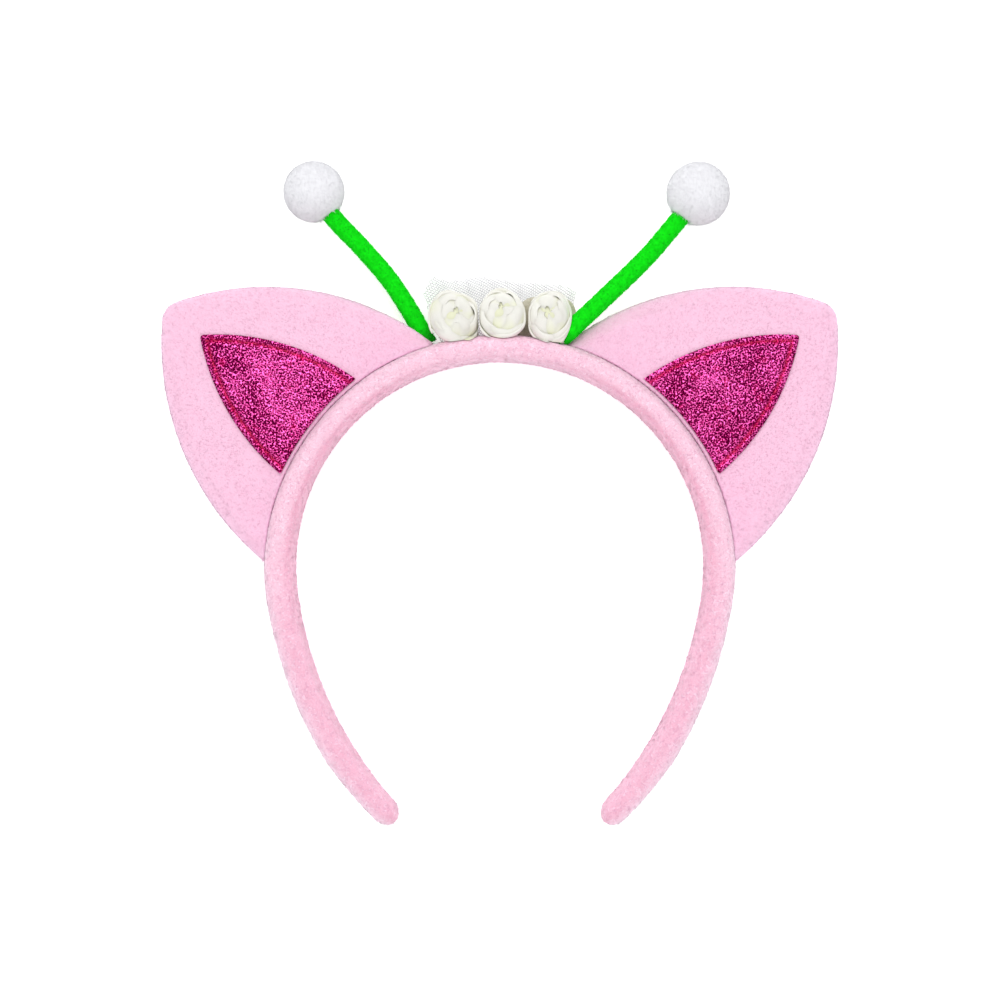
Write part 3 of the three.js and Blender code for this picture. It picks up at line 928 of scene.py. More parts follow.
def puff(points, faces, rim):
    """The layers after cloth pressure has pushed them apart, within the cap."""
    mesh = bpy.data.meshes.new("puffing")
    mesh.from_pydata((points * MILLIMETRE * PUFF_SCALE).tolist(), [], faces.tolist())
    pillow = bpy.data.objects.new("puffing", mesh)
    scene.collection.objects.link(pillow)
    seam = pillow.vertex_groups.new(name="seam")
    seam.add(np.flatnonzero(rim).tolist(), 1.0, "REPLACE")
    cloth = pillow.modifiers.new("cloth", "CLOTH")
    cloth.settings.vertex_group_mass = "seam"
    cloth.settings.use_pressure = True
    cloth.settings.uniform_pressure_force = PUFF_PRESSURE
    cloth.settings.effector_weights.gravity = 0
    cloth.point_cache.frame_end = PUFF_FRAMES
    for moment in range(1, PUFF_FRAMES + 1):
        scene.frame_set(moment)
    blown = pillow.evaluated_get(bpy.context.evaluated_depsgraph_get()).to_mesh()
    after = np.zeros(len(points) * 3, np.float32)
    blown.vertices.foreach_get("co", after)
    bpy.data.objects.remove(pillow)
    scene.frame_set(1)
    move = after.reshape(-1, 3) / (MILLIMETRE * PUFF_SCALE) - points
    far = np.linalg.norm(move, axis=1, keepdims=True)
    print("cloth moved the ear by up to", round(float(far.max()), 2), "mm")
    return points + move * np.minimum(1, PUFF_CAP / np.maximum(far, 1e-9))


def clear_of(points, line, radius):
    """Points nearer to a line than the radius, moved straight away from it."""
    near, far = nearest_on(line, points)
    away = unit(points - near)
    return np.where((far < radius)[:, None], near + away * radius, points)


print("half thickness of an ear before it is filled:", EAR_HALF)

# %% [markdown]
# Both ears are made from one pattern, which leans to either side. After the filling, the skin gets its
# lumpy nap, makes room for the band and for the stem beside it, and is sown with pile from the band
# towards the tip. Near the edge and the foot the stored shade is painted light: a painted highlight
# where the pile turns over at the rim, and painted light that lifts the shade of the crease at the foot.

# %% Both ears
EAR_FIBRES = 17000
EAR_NET = 1.0
EAR_ROWS = (0.3, 0.8, 1.5)
EAR_NAP = {"depth": 0.07, "size": 1.4}
EDGE_PAINTED_LIGHT = {"middle": 0.5, "more": 0.5, "width": 0.9}
EAR_SEEDS = {"left": {"nap": 31, "pile": 51}, "right": {"nap": 32, "pile": 52}}
ear_skins = {}


def ear_comb(roots):
    """From the band towards the tip of the ear."""
    return unit(roots * (1, 1, 0))


for side, sign in SIDES.items():
    outline = arch_outline(EAR_ARCH, sign * EAR_LEAN, EAR_STEP, EAR_SEAT)
    pattern, net = fill_pattern(outline, EAR_NET, EAR_ROWS)
    points, faces, rim = sew_pair(outline, pattern, net)
    points = puff(points, faces, rim)
    nap = EAR_NAP["depth"] * lumps_at(points, EAR_NAP["size"], EAR_SEEDS[side]["nap"])
    points = points + point_normals(points, faces) * nap[:, None]
    points = clear_of(clear_of_band(points, EAR_ROOM), STEM_LINES[side], STEM_RADIUS + SEAT_GAP)
    # Painted light near the rim and near the foot.
    from_foot = np.linalg.norm(points[:, :2], axis=1) - band_outside(points, EAR_SEAT)
    from_edge = np.minimum(np.maximum(from_foot, 0), rim_distance(outline, points[:, :2]))
    shade = EDGE_PAINTED_LIGHT["middle"] + EDGE_PAINTED_LIGHT["more"] * np.exp(-from_edge / EDGE_PAINTED_LIGHT["width"])
    ear = add_piece(f"ear_{side}_cover", points, faces, ear_plush, [f"ear_{side}"],
                    stored={"shade": shade})
    lay_pile(f"ear_{side}_pile", points, faces, shade, EAR_FIBRES, ear_comb, ear_plush,
             EAR_SEEDS[side]["pile"])
    ear_skins[side] = (points, faces)
print("ear thickness:", [round(float(np.ptp(skin[0][:, 2])), 2) for skin in ear_skins.values()])

# %% [markdown]
# The inner ears are panels of knitted glitter cloth. Its metal thread lies in tiny loops that face
# every way, and the glints and shade of those loops are painted into the colour: each loop is a
# different pink, from a painted glint of bright pink to a painted shade of dark wine red. The mesh itself
# is a net of half-millimetre facets with a little random lift, and it is shaded flat, so the facets catch
# the light one by one. Cell noise paints shade in the gaps between the loops, broad lumps paint the shade
# of soft folds, and along the seam the red of the thread shows through.

# %% Glitter cloth finish
GLITTER_SHADE = dye(84, 0, 42)
GLITTER_MIDDLE = dye(184, 25, 110)
GLITTER_GLINT = dye(244, 100, 184)
GLITTER_RED = dye(196, 8, 70)
LOOP = 0.56
glitter = Finish("glitter_cloth", Roughness=0.42, Metallic=1.0)
loop_sockets = {"Vector": glitter.place(), "Scale": 1 / (LOOP * MILLIMETRE), "Randomness": 1.0}
loop_gap = glitter.node("ShaderNodeTexVoronoi", {"voronoi_dimensions": "2D"}, loop_sockets, "Distance")
loop_shade = glitter.lumps(0.45) - 0.5
# Broad lumps: painted shade of soft folds in the cloth.
broad = glitter.lumps(9.0, detail=2.0) - 0.5
# This mask is painted light: the glint of each loop, with painted shade in the gaps.
bright = glitter.step(loop_gap + loop_shade * 1.2 + broad * 0.6, low=0.22, high=0.74)
ground = glitter.blend(glitter.step(bright, low=0.05, high=0.5), GLITTER_SHADE, GLITTER_MIDDLE)
painted_shine = glitter.blend(glitter.step(bright, low=0.5, high=1.0), ground, GLITTER_GLINT)
redden = glitter.step(glitter.lumps(3.0), low=0.6, high=0.75)
redden = redden * 0.3 + glitter.stored("seam") * (0.3 + 0.5 * bright)
glitter.show("Base Color", glitter.blend(redden, painted_shine, GLITTER_RED))
glitter.show("Roughness", 0.6 - 0.3 * bright)
glitter.relief(loop_gap, depth=0.1, strength=0.5)
print("nodes in the glitter cloth:", len(glitter.tree.nodes))

# %% [markdown]
# A panel lies on its ear, so its heights are found by dropping points onto the ear from above. They are
# then evened out, because the cloth is stiff enough to bridge small dips. It thins towards its edge, and
# the seam presses a shallow groove along the two long sides.

# %% Inner ear panels
INNER_ARCH = {"radius": 70.8, "centre": 52.6, "spring": 65.9, "tip": 0.9, "flare": 0.0}
PANEL_SPACING = 0.55
PANEL_SEAT = 1.35
PANEL_THICKNESS = 0.75
PANEL_STIFFNESS = 12
PANEL_EDGE = {"width": 0.8, "thin": 0.55}
SEAM = {"inset": 1.9, "dip": 0.25, "width": 0.6, "foot": 0.5}
FACET_LIFT = 0.075
FACET_SEEDS = {"left": 41, "right": 42}
DROP_START = 40.0
panel_tops = {}
panel_outlines = {}


def drop_onto(skin, flat):
    """Heights of a skin straight below flat points."""
    tree = bvhtree.BVHTree.FromPolygons(skin[0].tolist(), skin[1].tolist())
    down = Vector((0, 0, -1))
    hits = [tree.ray_cast(Vector((x, y, DROP_START)), down)[0] for x, y in flat]
    return np.array([MIDDLE_Z + EAR_HALF if hit is None else hit.z for hit in hits])


def soften(heights, net, turns):
    """Heights averaged over a net, as a stiff cloth bridges small dips."""
    for _ in range(turns):
        total = np.zeros_like(heights)
        count = np.zeros_like(heights)
        for a, b in ((0, 1), (1, 2), (2, 0)):
            np.add.at(total, net[:, a], heights[net[:, b]])
            np.add.at(total, net[:, b], heights[net[:, a]])
            np.add.at(count, net[:, a], 1)
            np.add.at(count, net[:, b], 1)
        heights = np.maximum(heights, total / count)
    return heights


for side, sign in SIDES.items():
    outline = arch_outline(INNER_ARCH, sign * EAR_LEAN, PANEL_SPACING, PANEL_SEAT)
    pattern, net = fill_pattern(outline, PANEL_SPACING)
    chance = np.random.default_rng(FACET_SEEDS[side])
    under = soften(drop_onto(ear_skins[side], pattern), net, PANEL_STIFFNESS) + SEAT_GAP
    facet = FACET_LIFT * chance.uniform(-1, 1, len(pattern))
    edge = np.clip(rim_distance(outline, pattern) / PANEL_EDGE["width"], 0, 1)
    sewn = outline[np.linalg.norm(outline, axis=1) > band_outside(outline, PANEL_SEAT + SEAM["foot"])]
    seam = np.exp(-((rim_distance(sewn, pattern, False) - SEAM["inset"]) / SEAM["width"]) ** 2)
    thick = PANEL_THICKNESS * (PANEL_EDGE["thin"] + (1 - PANEL_EDGE["thin"]) * edge)
    top = under + thick + facet * edge - SEAM["dip"] * seam
    front = np.column_stack([pattern, top])
    back = np.column_stack([pattern, under])
    faces = slab_faces(net, len(outline), len(pattern))
    panel = add_piece(f"inner_ear_{side}_panel", np.vstack([front, back]), faces, glitter,
                      [f"inner_ear_{side}"], smooth=False,
                      stored={"seam": np.concatenate([seam, seam])})
    panel_tops[side] = (front, net)
    panel_outlines[side] = outline
print("panel height above the floor:", [round(float(p[0][:, 2].max()), 2) for p in panel_tops.values()])

# %% [markdown]
# A row of red stitches holds each panel to its ear, a little inside the two long edges. Each stitch is
# a short piece of thread that dives into the cloth at both ends, so it is a small arched tube.

# %% Stitches
STITCH = {"length": 1.6, "stray": 0.12, "step": 2.4, "radius": 0.2, "lift": 0.16, "rings": 9, "sides": 6}
STITCH_FOOT = 1.0
STITCH_AHEAD = 0.2
STITCH_BLUNT = 1.02
STITCH_SEED = 45
thread = Finish("red_thread", Roughness=0.6)
twist = thread.step(thread.lumps(0.3), low=0.35, high=0.65)
thread.show("Base Color", thread.blend(twist, dye(164, 0, 54), dye(222, 20, 92)))
thread.relief(twist, depth=0.05, strength=0.6)


def even_turns(count):
    """This many angles, spaced evenly round a circle."""
    return np.arange(count) * 2 * math.pi / count


def stitch_points(middle, ahead, height):
    """Rings of one arched stitch."""
    along = np.linspace(-1, 1, STITCH["rings"])
    turn = even_turns(STITCH["sides"])
    thick = STITCH["radius"] * np.sqrt(np.clip(STITCH_BLUNT - along ** 4, 0, 1))
    flat = middle + ahead * (along * STITCH["length"] / 2)[:, None]
    spine = np.column_stack([flat, height + STITCH["lift"] * (1 - 2 * along ** 2)])
    side = np.array([ahead[1], -ahead[0], 0.0])
    ring = np.cos(turn)[:, None] * np.array([0, 0, 1.0]) + np.sin(turn)[:, None] * side
    return (spine[:, None, :] + thick[:, None, None] * ring).reshape(-1, 3)


def stitch_row(side, chance):
    """All stitches of one panel."""
    outline = panel_outlines[side]
    on_side = np.linalg.norm(outline, axis=1) > band_outside(outline, PANEL_SEAT + STITCH_FOOT)
    row = outline + inward_of(outline) * SEAM["inset"]
    row = row[on_side & (rim_distance(outline, row) > SEAM["inset"] * ROW_KEEP)]
    stops = np.arange(STITCH["step"], way_along(row)[-1] - STITCH["step"] / 2, STITCH["step"])
    middles = places_along(row, stops)
    middles += chance.normal(0, STITCH["stray"], middles.shape)
    after = places_along(row, stops + STITCH_AHEAD)
    heights = drop_onto(panel_tops[side], middles)
    rings = [stitch_points(m, unit(a - m), h) for m, a, h in zip(middles, after, heights)]
    faces = tube_faces(STITCH["rings"], STITCH["sides"])
    size = STITCH["rings"] * STITCH["sides"]
    shifted = [tuple(i + k * size for i in face) for k in range(len(rings)) for face in faces]
    return np.vstack(rings), shifted


for side in SIDES:
    points, faces = stitch_row(side, np.random.default_rng(STITCH_SEED))
    stitches = add_piece(f"inner_ear_{side}_stitches", points, faces, thread)
    a, b, c = (panel_tops[side][0][panel_tops[side][1][:, k], :2] for k in range(3))
    area = np.abs(np.cross(b - a, c - a)).sum() / 2 * MILLIMETRE ** 2

# %% [markdown]
# Each antenna stem is chenille: a twisted wire with bristles caught in it. They are a bright green,
# darker in the small gaps where they part. The foot stands in the shade between the band and the
# flowers, so a stored shade takes it down to a dark green.

# %% Chenille finish
chenille = Finish("chenille_green", Roughness=0.8, Sheen_Weight=0.5, Sheen_Roughness=0.5,
                  Sheen_Tint=dye(30, 250, 60), Specular_IOR_Level=0.2)
bristle_tip = chenille.stored("tip")
clump = chenille.step(chenille.lumps(1.1, detail=2.0), low=0.3, high=0.7)
bristle = chenille.blend(clump, dye(0, 240, 8), dye(2, 255, 16))
tuft = chenille.blend(0.8 - bristle_tip * 0.8, bristle, dye(0, 224, 4))
parted = chenille.step(chenille.lumps(0.6), low=0.58, high=0.7)
patch = chenille.step(chenille.lumps(2.6), low=0.42, high=0.58)
tuft = chenille.blend(parted * patch * 0.6, tuft, dye(0, 150, 14))
chenille.show("Base Color", chenille.blend(chenille.stored("shade"), dye(0, 84, 10), tuft))
chenille.relief(chenille.lumps(0.35), depth=0.1, strength=0.4)
print("chenille nodes:", len(chenille.tree.nodes))

# %% [markdown]
# The bristles stand out all round the wire in two winding ridges. A fat core carries the colour between
# them, and thousands of spikes make the velvety outline. The stem starts where its line leaves the
# band, and it ends inside the pompom.

# %% Stems
CORE_RADIUS = 2.6
CORE_SIDES = 14
CORE_RINGS = 130
STEM_BRISTLES = 14000
STEM_TURNS = 9
STEM_SEEDS = {"left": 51, "right": 52}
# How much of a tip's colour the skin under a coat of spikes has.
SKIN_TIP = 0.5
BRISTLE = {"root": 2.4, "width": 0.24, "wild": 0.4, "valley": 0.1, "scatter": 0.3, "up": 0.5,
           "stray": 1.1, "uneven": 0.07, "tip_room": 1.03, "root_room": 1.0}
FOOT_SHADOW = {"length": 5.0, "least": 0.3}
STEM_CLEAR = {"left": 1.35, "right": 1.0}
STEM_STOP = 7.7
drawn_stems = {}
POMPOMS = {
    "left": {"centre": np.array([-55.7, 112.4, 10.3]), "radius": 9.2},
    "right": {"centre": np.array([59.5, 111.85, 10.3]), "radius": 9.6},
}


def line_frames(line):
    """Directions along a line, to its side and up from it."""
    ahead = unit(np.gradient(line, axis=0))
    side = unit(np.cross(ahead, np.array([0, 0, 1.0])))
    return ahead, side, np.cross(side, ahead)


def add_stem(side, seed):
    """One stem: its core and its bristles, from the band to the pompom."""
    line = STEM_LINES[side]
    first = int(np.argmax(band_reach(line)[0] > STEM_CLEAR[side]))
    last = np.linalg.norm(line - POMPOMS[side]["centre"], axis=1) > STEM_STOP
    line = smooth_line(line[first:np.flatnonzero(last)[-1]], CORE_RINGS)
    drawn_stems[side] = line
    ahead, beside, up = line_frames(line)
    way = np.linalg.norm(line - line[0], axis=1)
    out_of_shade = np.clip(way / FOOT_SHADOW["length"], 0, 1)
    light = FOOT_SHADOW["least"] + (1 - FOOT_SHADOW["least"]) * out_of_shade
    turn = even_turns(CORE_SIDES)
    ring = np.cos(turn)[:, None, None] * beside + np.sin(turn)[:, None, None] * up
    core = (line + CORE_RADIUS * ring).transpose(1, 0, 2).reshape(-1, 3)
    core = clear_of_band(core)
    name = f"antenna_stem_{side}"
    faces = [face[::-1] for face in tube_faces(len(line), CORE_SIDES)]
    add_piece(f"{name}_core", core, faces, chenille, [name],
              stored={"tip": np.full(len(core), SKIN_TIP), "shade": np.repeat(light, CORE_SIDES)})
    chance = np.random.default_rng(seed)
    share = chance.random(STEM_BRISTLES) * (len(line) - 1)
    low = share.astype(int)
    part = (share - low)[:, None]
    mix = [values[low] * (1 - part) + values[low + 1] * part for values in (line, ahead, beside, up)]
    stray = chance.normal(0, BRISTLE["stray"], STEM_BRISTLES)
    wind = 2 * math.pi * STEM_TURNS * share / len(line) + math.pi * chance.integers(0, 2, STEM_BRISTLES)
    out = np.cos(wind + stray)[:, None] * mix[2] + np.sin(wind + stray)[:, None] * mix[3]
    far = STEM_RADIUS - BRISTLE["valley"] * np.abs(np.sin(stray))
    far = far + chance.normal(0, BRISTLE["uneven"], STEM_BRISTLES)
    roots = mix[0] + out * BRISTLE["root"]
    tips = mix[0] + out * far[:, None] + mix[1] * chance.normal(0, BRISTLE["wild"], STEM_BRISTLES)[:, None]
    kept = band_reach(tips)[0] > BRISTLE["tip_room"]
    kept &= band_reach(roots)[0] > BRISTLE["root_room"]
    width = np.full(kept.sum(), BRISTLE["width"])
    facing = out + BRISTLE["scatter"] * chance.normal(size=out.shape) + (0, 0, BRISTLE["up"])
    shade = np.interp(share, np.arange(len(line)), light)
    add_pile(f"{name}_bristles", roots[kept], tips[kept], width, unit(facing[kept]), shade[kept], chenille,
             "chenille_green", chance)


for side, seed in STEM_SEEDS.items():
    add_stem(side, seed)

# %% [markdown]
# The pompoms are round balls of soft white fluff, so fine that they look nearly smooth. Near the stem
# a stored shade paints them a little green, a painted reflection of the green stem.

# %% Pompom finish
fluff = Finish("pompom_white", Roughness=0.95, Specular_IOR_Level=0.1)
fluff_tip = fluff.stored("tip")
wisp = fluff.step(fluff.lumps(1.6, detail=2.0), low=0.3, high=0.7)
fluff_tone = fluff.blend(wisp, dye(238, 238, 242), dye(242, 242, 246))
fluff_tone = fluff.blend(0.7 - fluff_tip * 0.7, fluff_tone, dye(236, 236, 240))
# The stored shade paints the green reflected from the stem.
fluff.show("Base Color", fluff.blend(fluff.stored("shade"), fluff_tone, dye(214, 238, 218)))
fluff.relief(fluff.lumps(0.4, detail=2.0), depth=0.15, strength=0.5)
print("pompom nodes:", len(fluff.tree.nodes))

# %% [markdown]
# A lumpy ball carries a dense coat of short fibres. Where the stem goes in, the ball is dented to make
# room, and the fibres round the dent are longer, so that they hide the joint as ragged fluff does.

# %% Pompoms
POMPOM_FIBRES = 17000
POMPOM_SEEDS = {"left": 61, "right": 62}
BALL = {"share": 0.975, "lump": 0.006, "lump_size": 2.4, "fineness": 5}
FLUFF = {"length": 0.5, "wild": 0.55, "width": 0.16, "sink": 0.17, "up": 0.4, "upright": 0.2}
STEM_TUFT = {"from": 0.925, "longer": 1.9}
STEM_REFLECTION_PAINT = {"from": 0.87, "most": 0.85}
DENT = {"radius": 2.75, "soft": 0.3, "depth": 0.81, "bare": 0.5}


def add_pompom(side, seed):
    """One pompom: a dented ball and its coat of fluff."""
    ball = POMPOMS[side]
    shell = bmesh.new()
    bmesh.ops.create_icosphere(shell, subdivisions=BALL["fineness"], radius=1.0)
    directions = np.array([v.co for v in shell.verts])
    faces = np.array([[v.index for v in f.verts] for f in shell.faces])
    shell.free()
    toward = unit(STEM_LINES[side][-1] - ball["centre"])
    entry = directions @ toward
    beside = ball["radius"] * np.sqrt(np.clip(1 - entry ** 2, 0, 1))
    dent = np.clip((DENT["radius"] + DENT["soft"] - beside) / DENT["soft"], 0, 1) * (entry > 0)
    lumpy = 1 + BALL["lump"] * lumps_at(directions * ball["radius"], BALL["lump_size"], seed)
    far = ball["radius"] * BALL["share"] * lumpy * (1 - (1 - DENT["depth"]) * dent)
    points = ball["centre"] + directions * far[:, None]
    # Painted reflection of the stem, strongest where the stem goes in.
    painted_reflection = STEM_REFLECTION_PAINT["most"] * np.clip((entry - STEM_REFLECTION_PAINT["from"]) / (1 - STEM_REFLECTION_PAINT["from"]), 0, 1)
    name = f"pompom_{side}"
    add_piece(f"{name}_ball", points, faces, fluff, [name],
              stored={"tip": np.full(len(points), SKIN_TIP), "shade": painted_reflection})
    chance = np.random.default_rng(seed)
    open_faces = faces[dent[faces].max(axis=1) < DENT["bare"]]
    roots, _, painted_reflection = sow(points, open_faces, POMPOM_FIBRES, chance, painted_reflection)
    normals = unit(roots - ball["centre"])
    lean = unit(normals + FLUFF["wild"] * chance.normal(size=roots.shape))
    lean = np.where((lean * normals).sum(axis=1, keepdims=True) < FLUFF["upright"], normals, lean)
    length = FLUFF["length"] * chance.uniform(*UNEVEN_RANGE, len(roots))
    length *= 1 + STEM_TUFT["longer"] * (normals @ toward > STEM_TUFT["from"]) * chance.random(len(roots))
    roots = roots - normals * FLUFF["sink"]
    tips = roots + lean * length[:, None]
    width = FLUFF["width"] * chance.uniform(*UNEVEN_RANGE, len(roots))
    facing = unit(normals + (0, 0, FLUFF["up"]))
    add_pile(f"{name}_fluff", roots, tips, width, facing, painted_reflection, fluff, "pompom_white", chance)


for side, seed in POMPOM_SEEDS.items():
    add_pompom(side, seed)

# %% [markdown]
# The roses are rolled from soft foam sheet, a warm white. Down in the folds the colour is painted a
# yellowish green, as painted shade, so how deep a point lies is stored on the mesh for the finish. A
# little light goes through the foam, which Subsurface gives.

# %% Rose finish
foam = Finish("rose_foam", Roughness=0.75, Subsurface_Weight=0.15, Subsurface_Radius=(1, 1, 1),
              Subsurface_Scale=0.002, Specular_IOR_Level=0.25)
painted_fold_shade = foam.step(foam.stored("deep"), low=0.25, high=1.0)
cloud = foam.lumps(2.5, detail=2.0)
petal_tone = foam.blend(cloud, dye(230, 228, 220), dye(238, 237, 230))
# Painted shade: deep points are painted yellowish green.
foam.show("Base Color", foam.blend(painted_fold_shade * (0.75 + 0.25 * cloud), petal_tone, dye(226, 231, 168)))
foam.relief(foam.lumps(0.3, detail=2.0), depth=0.05, strength=0.35)
print("rose nodes:", len(foam.tree.nodes))

# %% [markdown]
# A petal could be modelled once and copied, but on a rolled flower no two are alike. So each is a slab
# bent round the flower's axis, which swells from its foot to a belly and closes in again towards a thick
# rounded rim. One row of a table sets its place and its curve, one side of it lies behind the next
# petal, and a little chance waves the rim.

# %% Petals
PETAL_THICKNESS = 0.95
PETAL_DROP = 0.25
PETAL_WAVE = {"most": 0.35, "turns": 3.5, "start": 6.28}
PETAL_TUCK = 0.5
PETAL_TWIST = 30
PETAL_LEAST = 0.55 * PETAL_THICKNESS
PETAL_RIM = 0.35
PETAL_COLUMNS = 27
PETAL_ROWS = 15
# How deep the foot lies outside and inside a petal, and how much deeper its tucked side lies, for the
# painted fold shade.
FOLD_SHADE = {"outside": 0.7, "inside": 1.2, "tucked": 0.35, "from": 0.1, "width": 0.4}
# Angle, span, radius at the foot, pull of the belly, radius and height of the rim, dome, flare.
PETALS = [
    (20, 150, 2.2, 7.2, 5.9, 5.8, 0.15, 0.5), (140, 150, 2.2, 7.2, 6.1, 5.4, 0.15, 0.6),
    (262, 160, 2.2, 7.2, 6.0, 5.6, 0.15, 0.4), (165, 150, 2.0, 8.0, 4.5, 7.2, 0.4, 0.25),
    (345, 140, 2.0, 8.0, 4.3, 7.4, 0.4, 0.25), (95, 130, 2.0, 7.6, 5.2, 6.5, 0.3, 0.3),
    (240, 130, 2.0, 7.6, 5.1, 6.6, 0.3, 0.3), (110, 150, 2.0, 8.1, 3.0, 8.0, 0.6, 0.1),
    (300, 140, 2.0, 8.1, 2.8, 8.1, 0.6, 0.1),
]
BUD_PETALS = [
    (270, 190, 2.0, 8.3, 0.7, 8.5, 0.85, 0.0), (30, 180, 2.0, 8.1, 1.0, 8.6, 0.8, 0.1),
    (150, 180, 2.0, 8.1, 1.3, 8.4, 0.8, 0.1),
]
SMALL_PETAL = (-20, 64, 3.4, 8.4, 8.2, 4.2, 0.1, 0.3)
WRAP_PETAL = (200, 170, 2.6, 9.0, 3.8, 7.6, 0.45, 0.2)
across_grid, height_grid = np.meshgrid(np.linspace(-1, 1, PETAL_COLUMNS), np.linspace(0, 1, PETAL_ROWS))
ACROSS = across_grid.ravel()
HEIGHT = height_grid.ravel()


def petal(angle, span, foot, belly, rim, height, dome, flare, chance):
    """Points of one petal, the outer layer first, and how deep each lies, for the painted fold shade."""
    start = chance.uniform(0, PETAL_WAVE["start"])
    wave = PETAL_WAVE["most"] * HEIGHT ** 3 * np.sin(ACROSS * PETAL_WAVE["turns"] + start)
    turn = np.radians(angle + ACROSS * span / 2 + PETAL_TWIST * HEIGHT)
    cup = foot * (1 - HEIGHT) ** 2 + belly * 2 * HEIGHT * (1 - HEIGHT) + rim * HEIGHT ** 2
    reach = cup + PETAL_TUCK * ACROSS * HEIGHT + flare * HEIGHT ** 6 + wave
    reach = np.maximum(reach, PETAL_LEAST)
    rounded = PETAL_RIM + (1 - PETAL_RIM) * np.sqrt(1 - np.maximum(np.abs(ACROSS), HEIGHT) ** 6)
    up = HEIGHT + dome * (np.sin(HEIGHT * math.pi / 2) - HEIGHT)
    rise = height * up * (1 - PETAL_DROP * ACROSS ** 4 * HEIGHT) + wave
    layers = []
    for wall in (0.5, -0.5):
        far = reach + wall * PETAL_THICKNESS * rounded
        layers.append(np.stack([far * np.cos(turn), far * np.sin(turn), rise], axis=1))
    tucked = FOLD_SHADE["tucked"] * np.clip(FOLD_SHADE["from"] - ACROSS, 0, FOLD_SHADE["width"]) / FOLD_SHADE["width"]
    outside = FOLD_SHADE["outside"] * (1 - HEIGHT) + tucked
    return np.vstack(layers), np.concatenate([outside, FOLD_SHADE["inside"] - HEIGHT])


def petal_faces():
    """Quads of both layers of a petal and of the wall round its rim."""
    count = PETAL_COLUMNS * PETAL_ROWS
    faces = []
    for r in range(PETAL_ROWS - 1):
        for c in range(PETAL_COLUMNS - 1):
            here = r * PETAL_COLUMNS + c
            quad = (here, here + 1, here + 1 + PETAL_COLUMNS, here + PETAL_COLUMNS)
            faces.append(quad)
            faces.append(tuple(i + count for i in quad[::-1]))
    rim = [*range(PETAL_COLUMNS)]
    rim += [r * PETAL_COLUMNS + PETAL_COLUMNS - 1 for r in range(1, PETAL_ROWS)]
    rim += [(PETAL_ROWS - 1) * PETAL_COLUMNS + c for c in range(PETAL_COLUMNS - 2, -1, -1)]
    rim += [r * PETAL_COLUMNS for r in range(PETAL_ROWS - 2, 0, -1)]
    for here, after in zip(rim, [*rim[1:], rim[0]]):
        faces.append((after, here, here + count, after + count))
    return faces


print("petals in a rose:", len(PETALS) + len(BUD_PETALS))

# %% [markdown]
# The innermost petals are rolled so tightly that nothing can be seen between them. More and more petals
# could fill that roll, but a plain dome under them closes the heart as well, and it takes the painted
# shade of a fold.

# %% Heart of a rose
CORE_CLOSE = 0.98
CORE = {"radius": 4.7, "height": 8.3, "rings": 14, "sides": 28, "squareness": 3.0, "deep": 0.65}


def core():
    """A dome under the petals, which closes the flower below its opening."""
    lean = np.linspace(0, math.pi / 2 * CORE_CLOSE, CORE["rings"])
    turn = even_turns(CORE["sides"])
    fullness = 2 / CORE["squareness"]
    far = CORE["radius"] * np.cos(lean)[:, None] ** fullness
    tall = np.repeat(CORE["height"] * np.sin(lean) ** fullness, CORE["sides"])
    flat = np.stack([far * np.cos(turn), far * np.sin(turn)], axis=2).reshape(-1, 2)
    points = np.column_stack([flat, tall])
    return points, tube_faces(CORE["rings"], CORE["sides"]), np.full(len(points), CORE["deep"])


print("points of a rose's heart:", len(core()[0]))

# %% [markdown]
# Every rose uses the same petals, spun, widened and tipped in its own way, and its bud is more or less
# open. The left one is also wrapped in a broad petal, with a small one beside it. The flowers stand
# close together, so each is squeezed softly into a slot of its own and moved off the band and the stems.

# %% Roses
ROSE_FIRST_SEED = 71
SLOT_SOFT = 0.8
ROSES = [
    {"name": "rose_left", "place": (-14.7, 72.7, 9.4), "lift": 22, "turn": 15, "spin": -30,
     "wide": 1.16, "tall": 1.27, "slot": (-21.9, -6.45), "open": 0.6, "more": [SMALL_PETAL, WRAP_PETAL]},
    {"name": "rose_centre", "place": (0.75, 72.6, 9.6), "lift": 35, "turn": -1, "spin": 0,
     "wide": 1.1, "tall": 1.34, "slot": (-6.15, 8.1), "open": 0.5, "more": []},
    {"name": "rose_right", "place": (15.3, 72.9, 9.4), "lift": 20, "turn": -6, "spin": 25,
     "wide": 0.98, "tall": 1.27, "slot": (8.3, 40.0), "open": 0.9, "more": []},
]


def turned(points, axis, degrees):
    """Points turned about the X, Y or Z axis."""
    c = math.cos(math.radians(degrees))
    s = math.sin(math.radians(degrees))
    i, j = [(1, 2), (2, 0), (0, 1)]["XYZ".index(axis)]
    moved = points.copy()
    moved[:, i] = points[:, i] * c - points[:, j] * s
    moved[:, j] = points[:, i] * s + points[:, j] * c
    return moved


def pressed(values, low, high):
    """Values kept between two walls, squeezed softly near them so that no two layers meet."""
    soft = SLOT_SOFT
    values = np.where(values > high - soft, high - soft * np.exp((high - soft - values) / soft), values)
    return np.where(values < low + soft, low + soft * np.exp((values - low - soft) / soft), values)


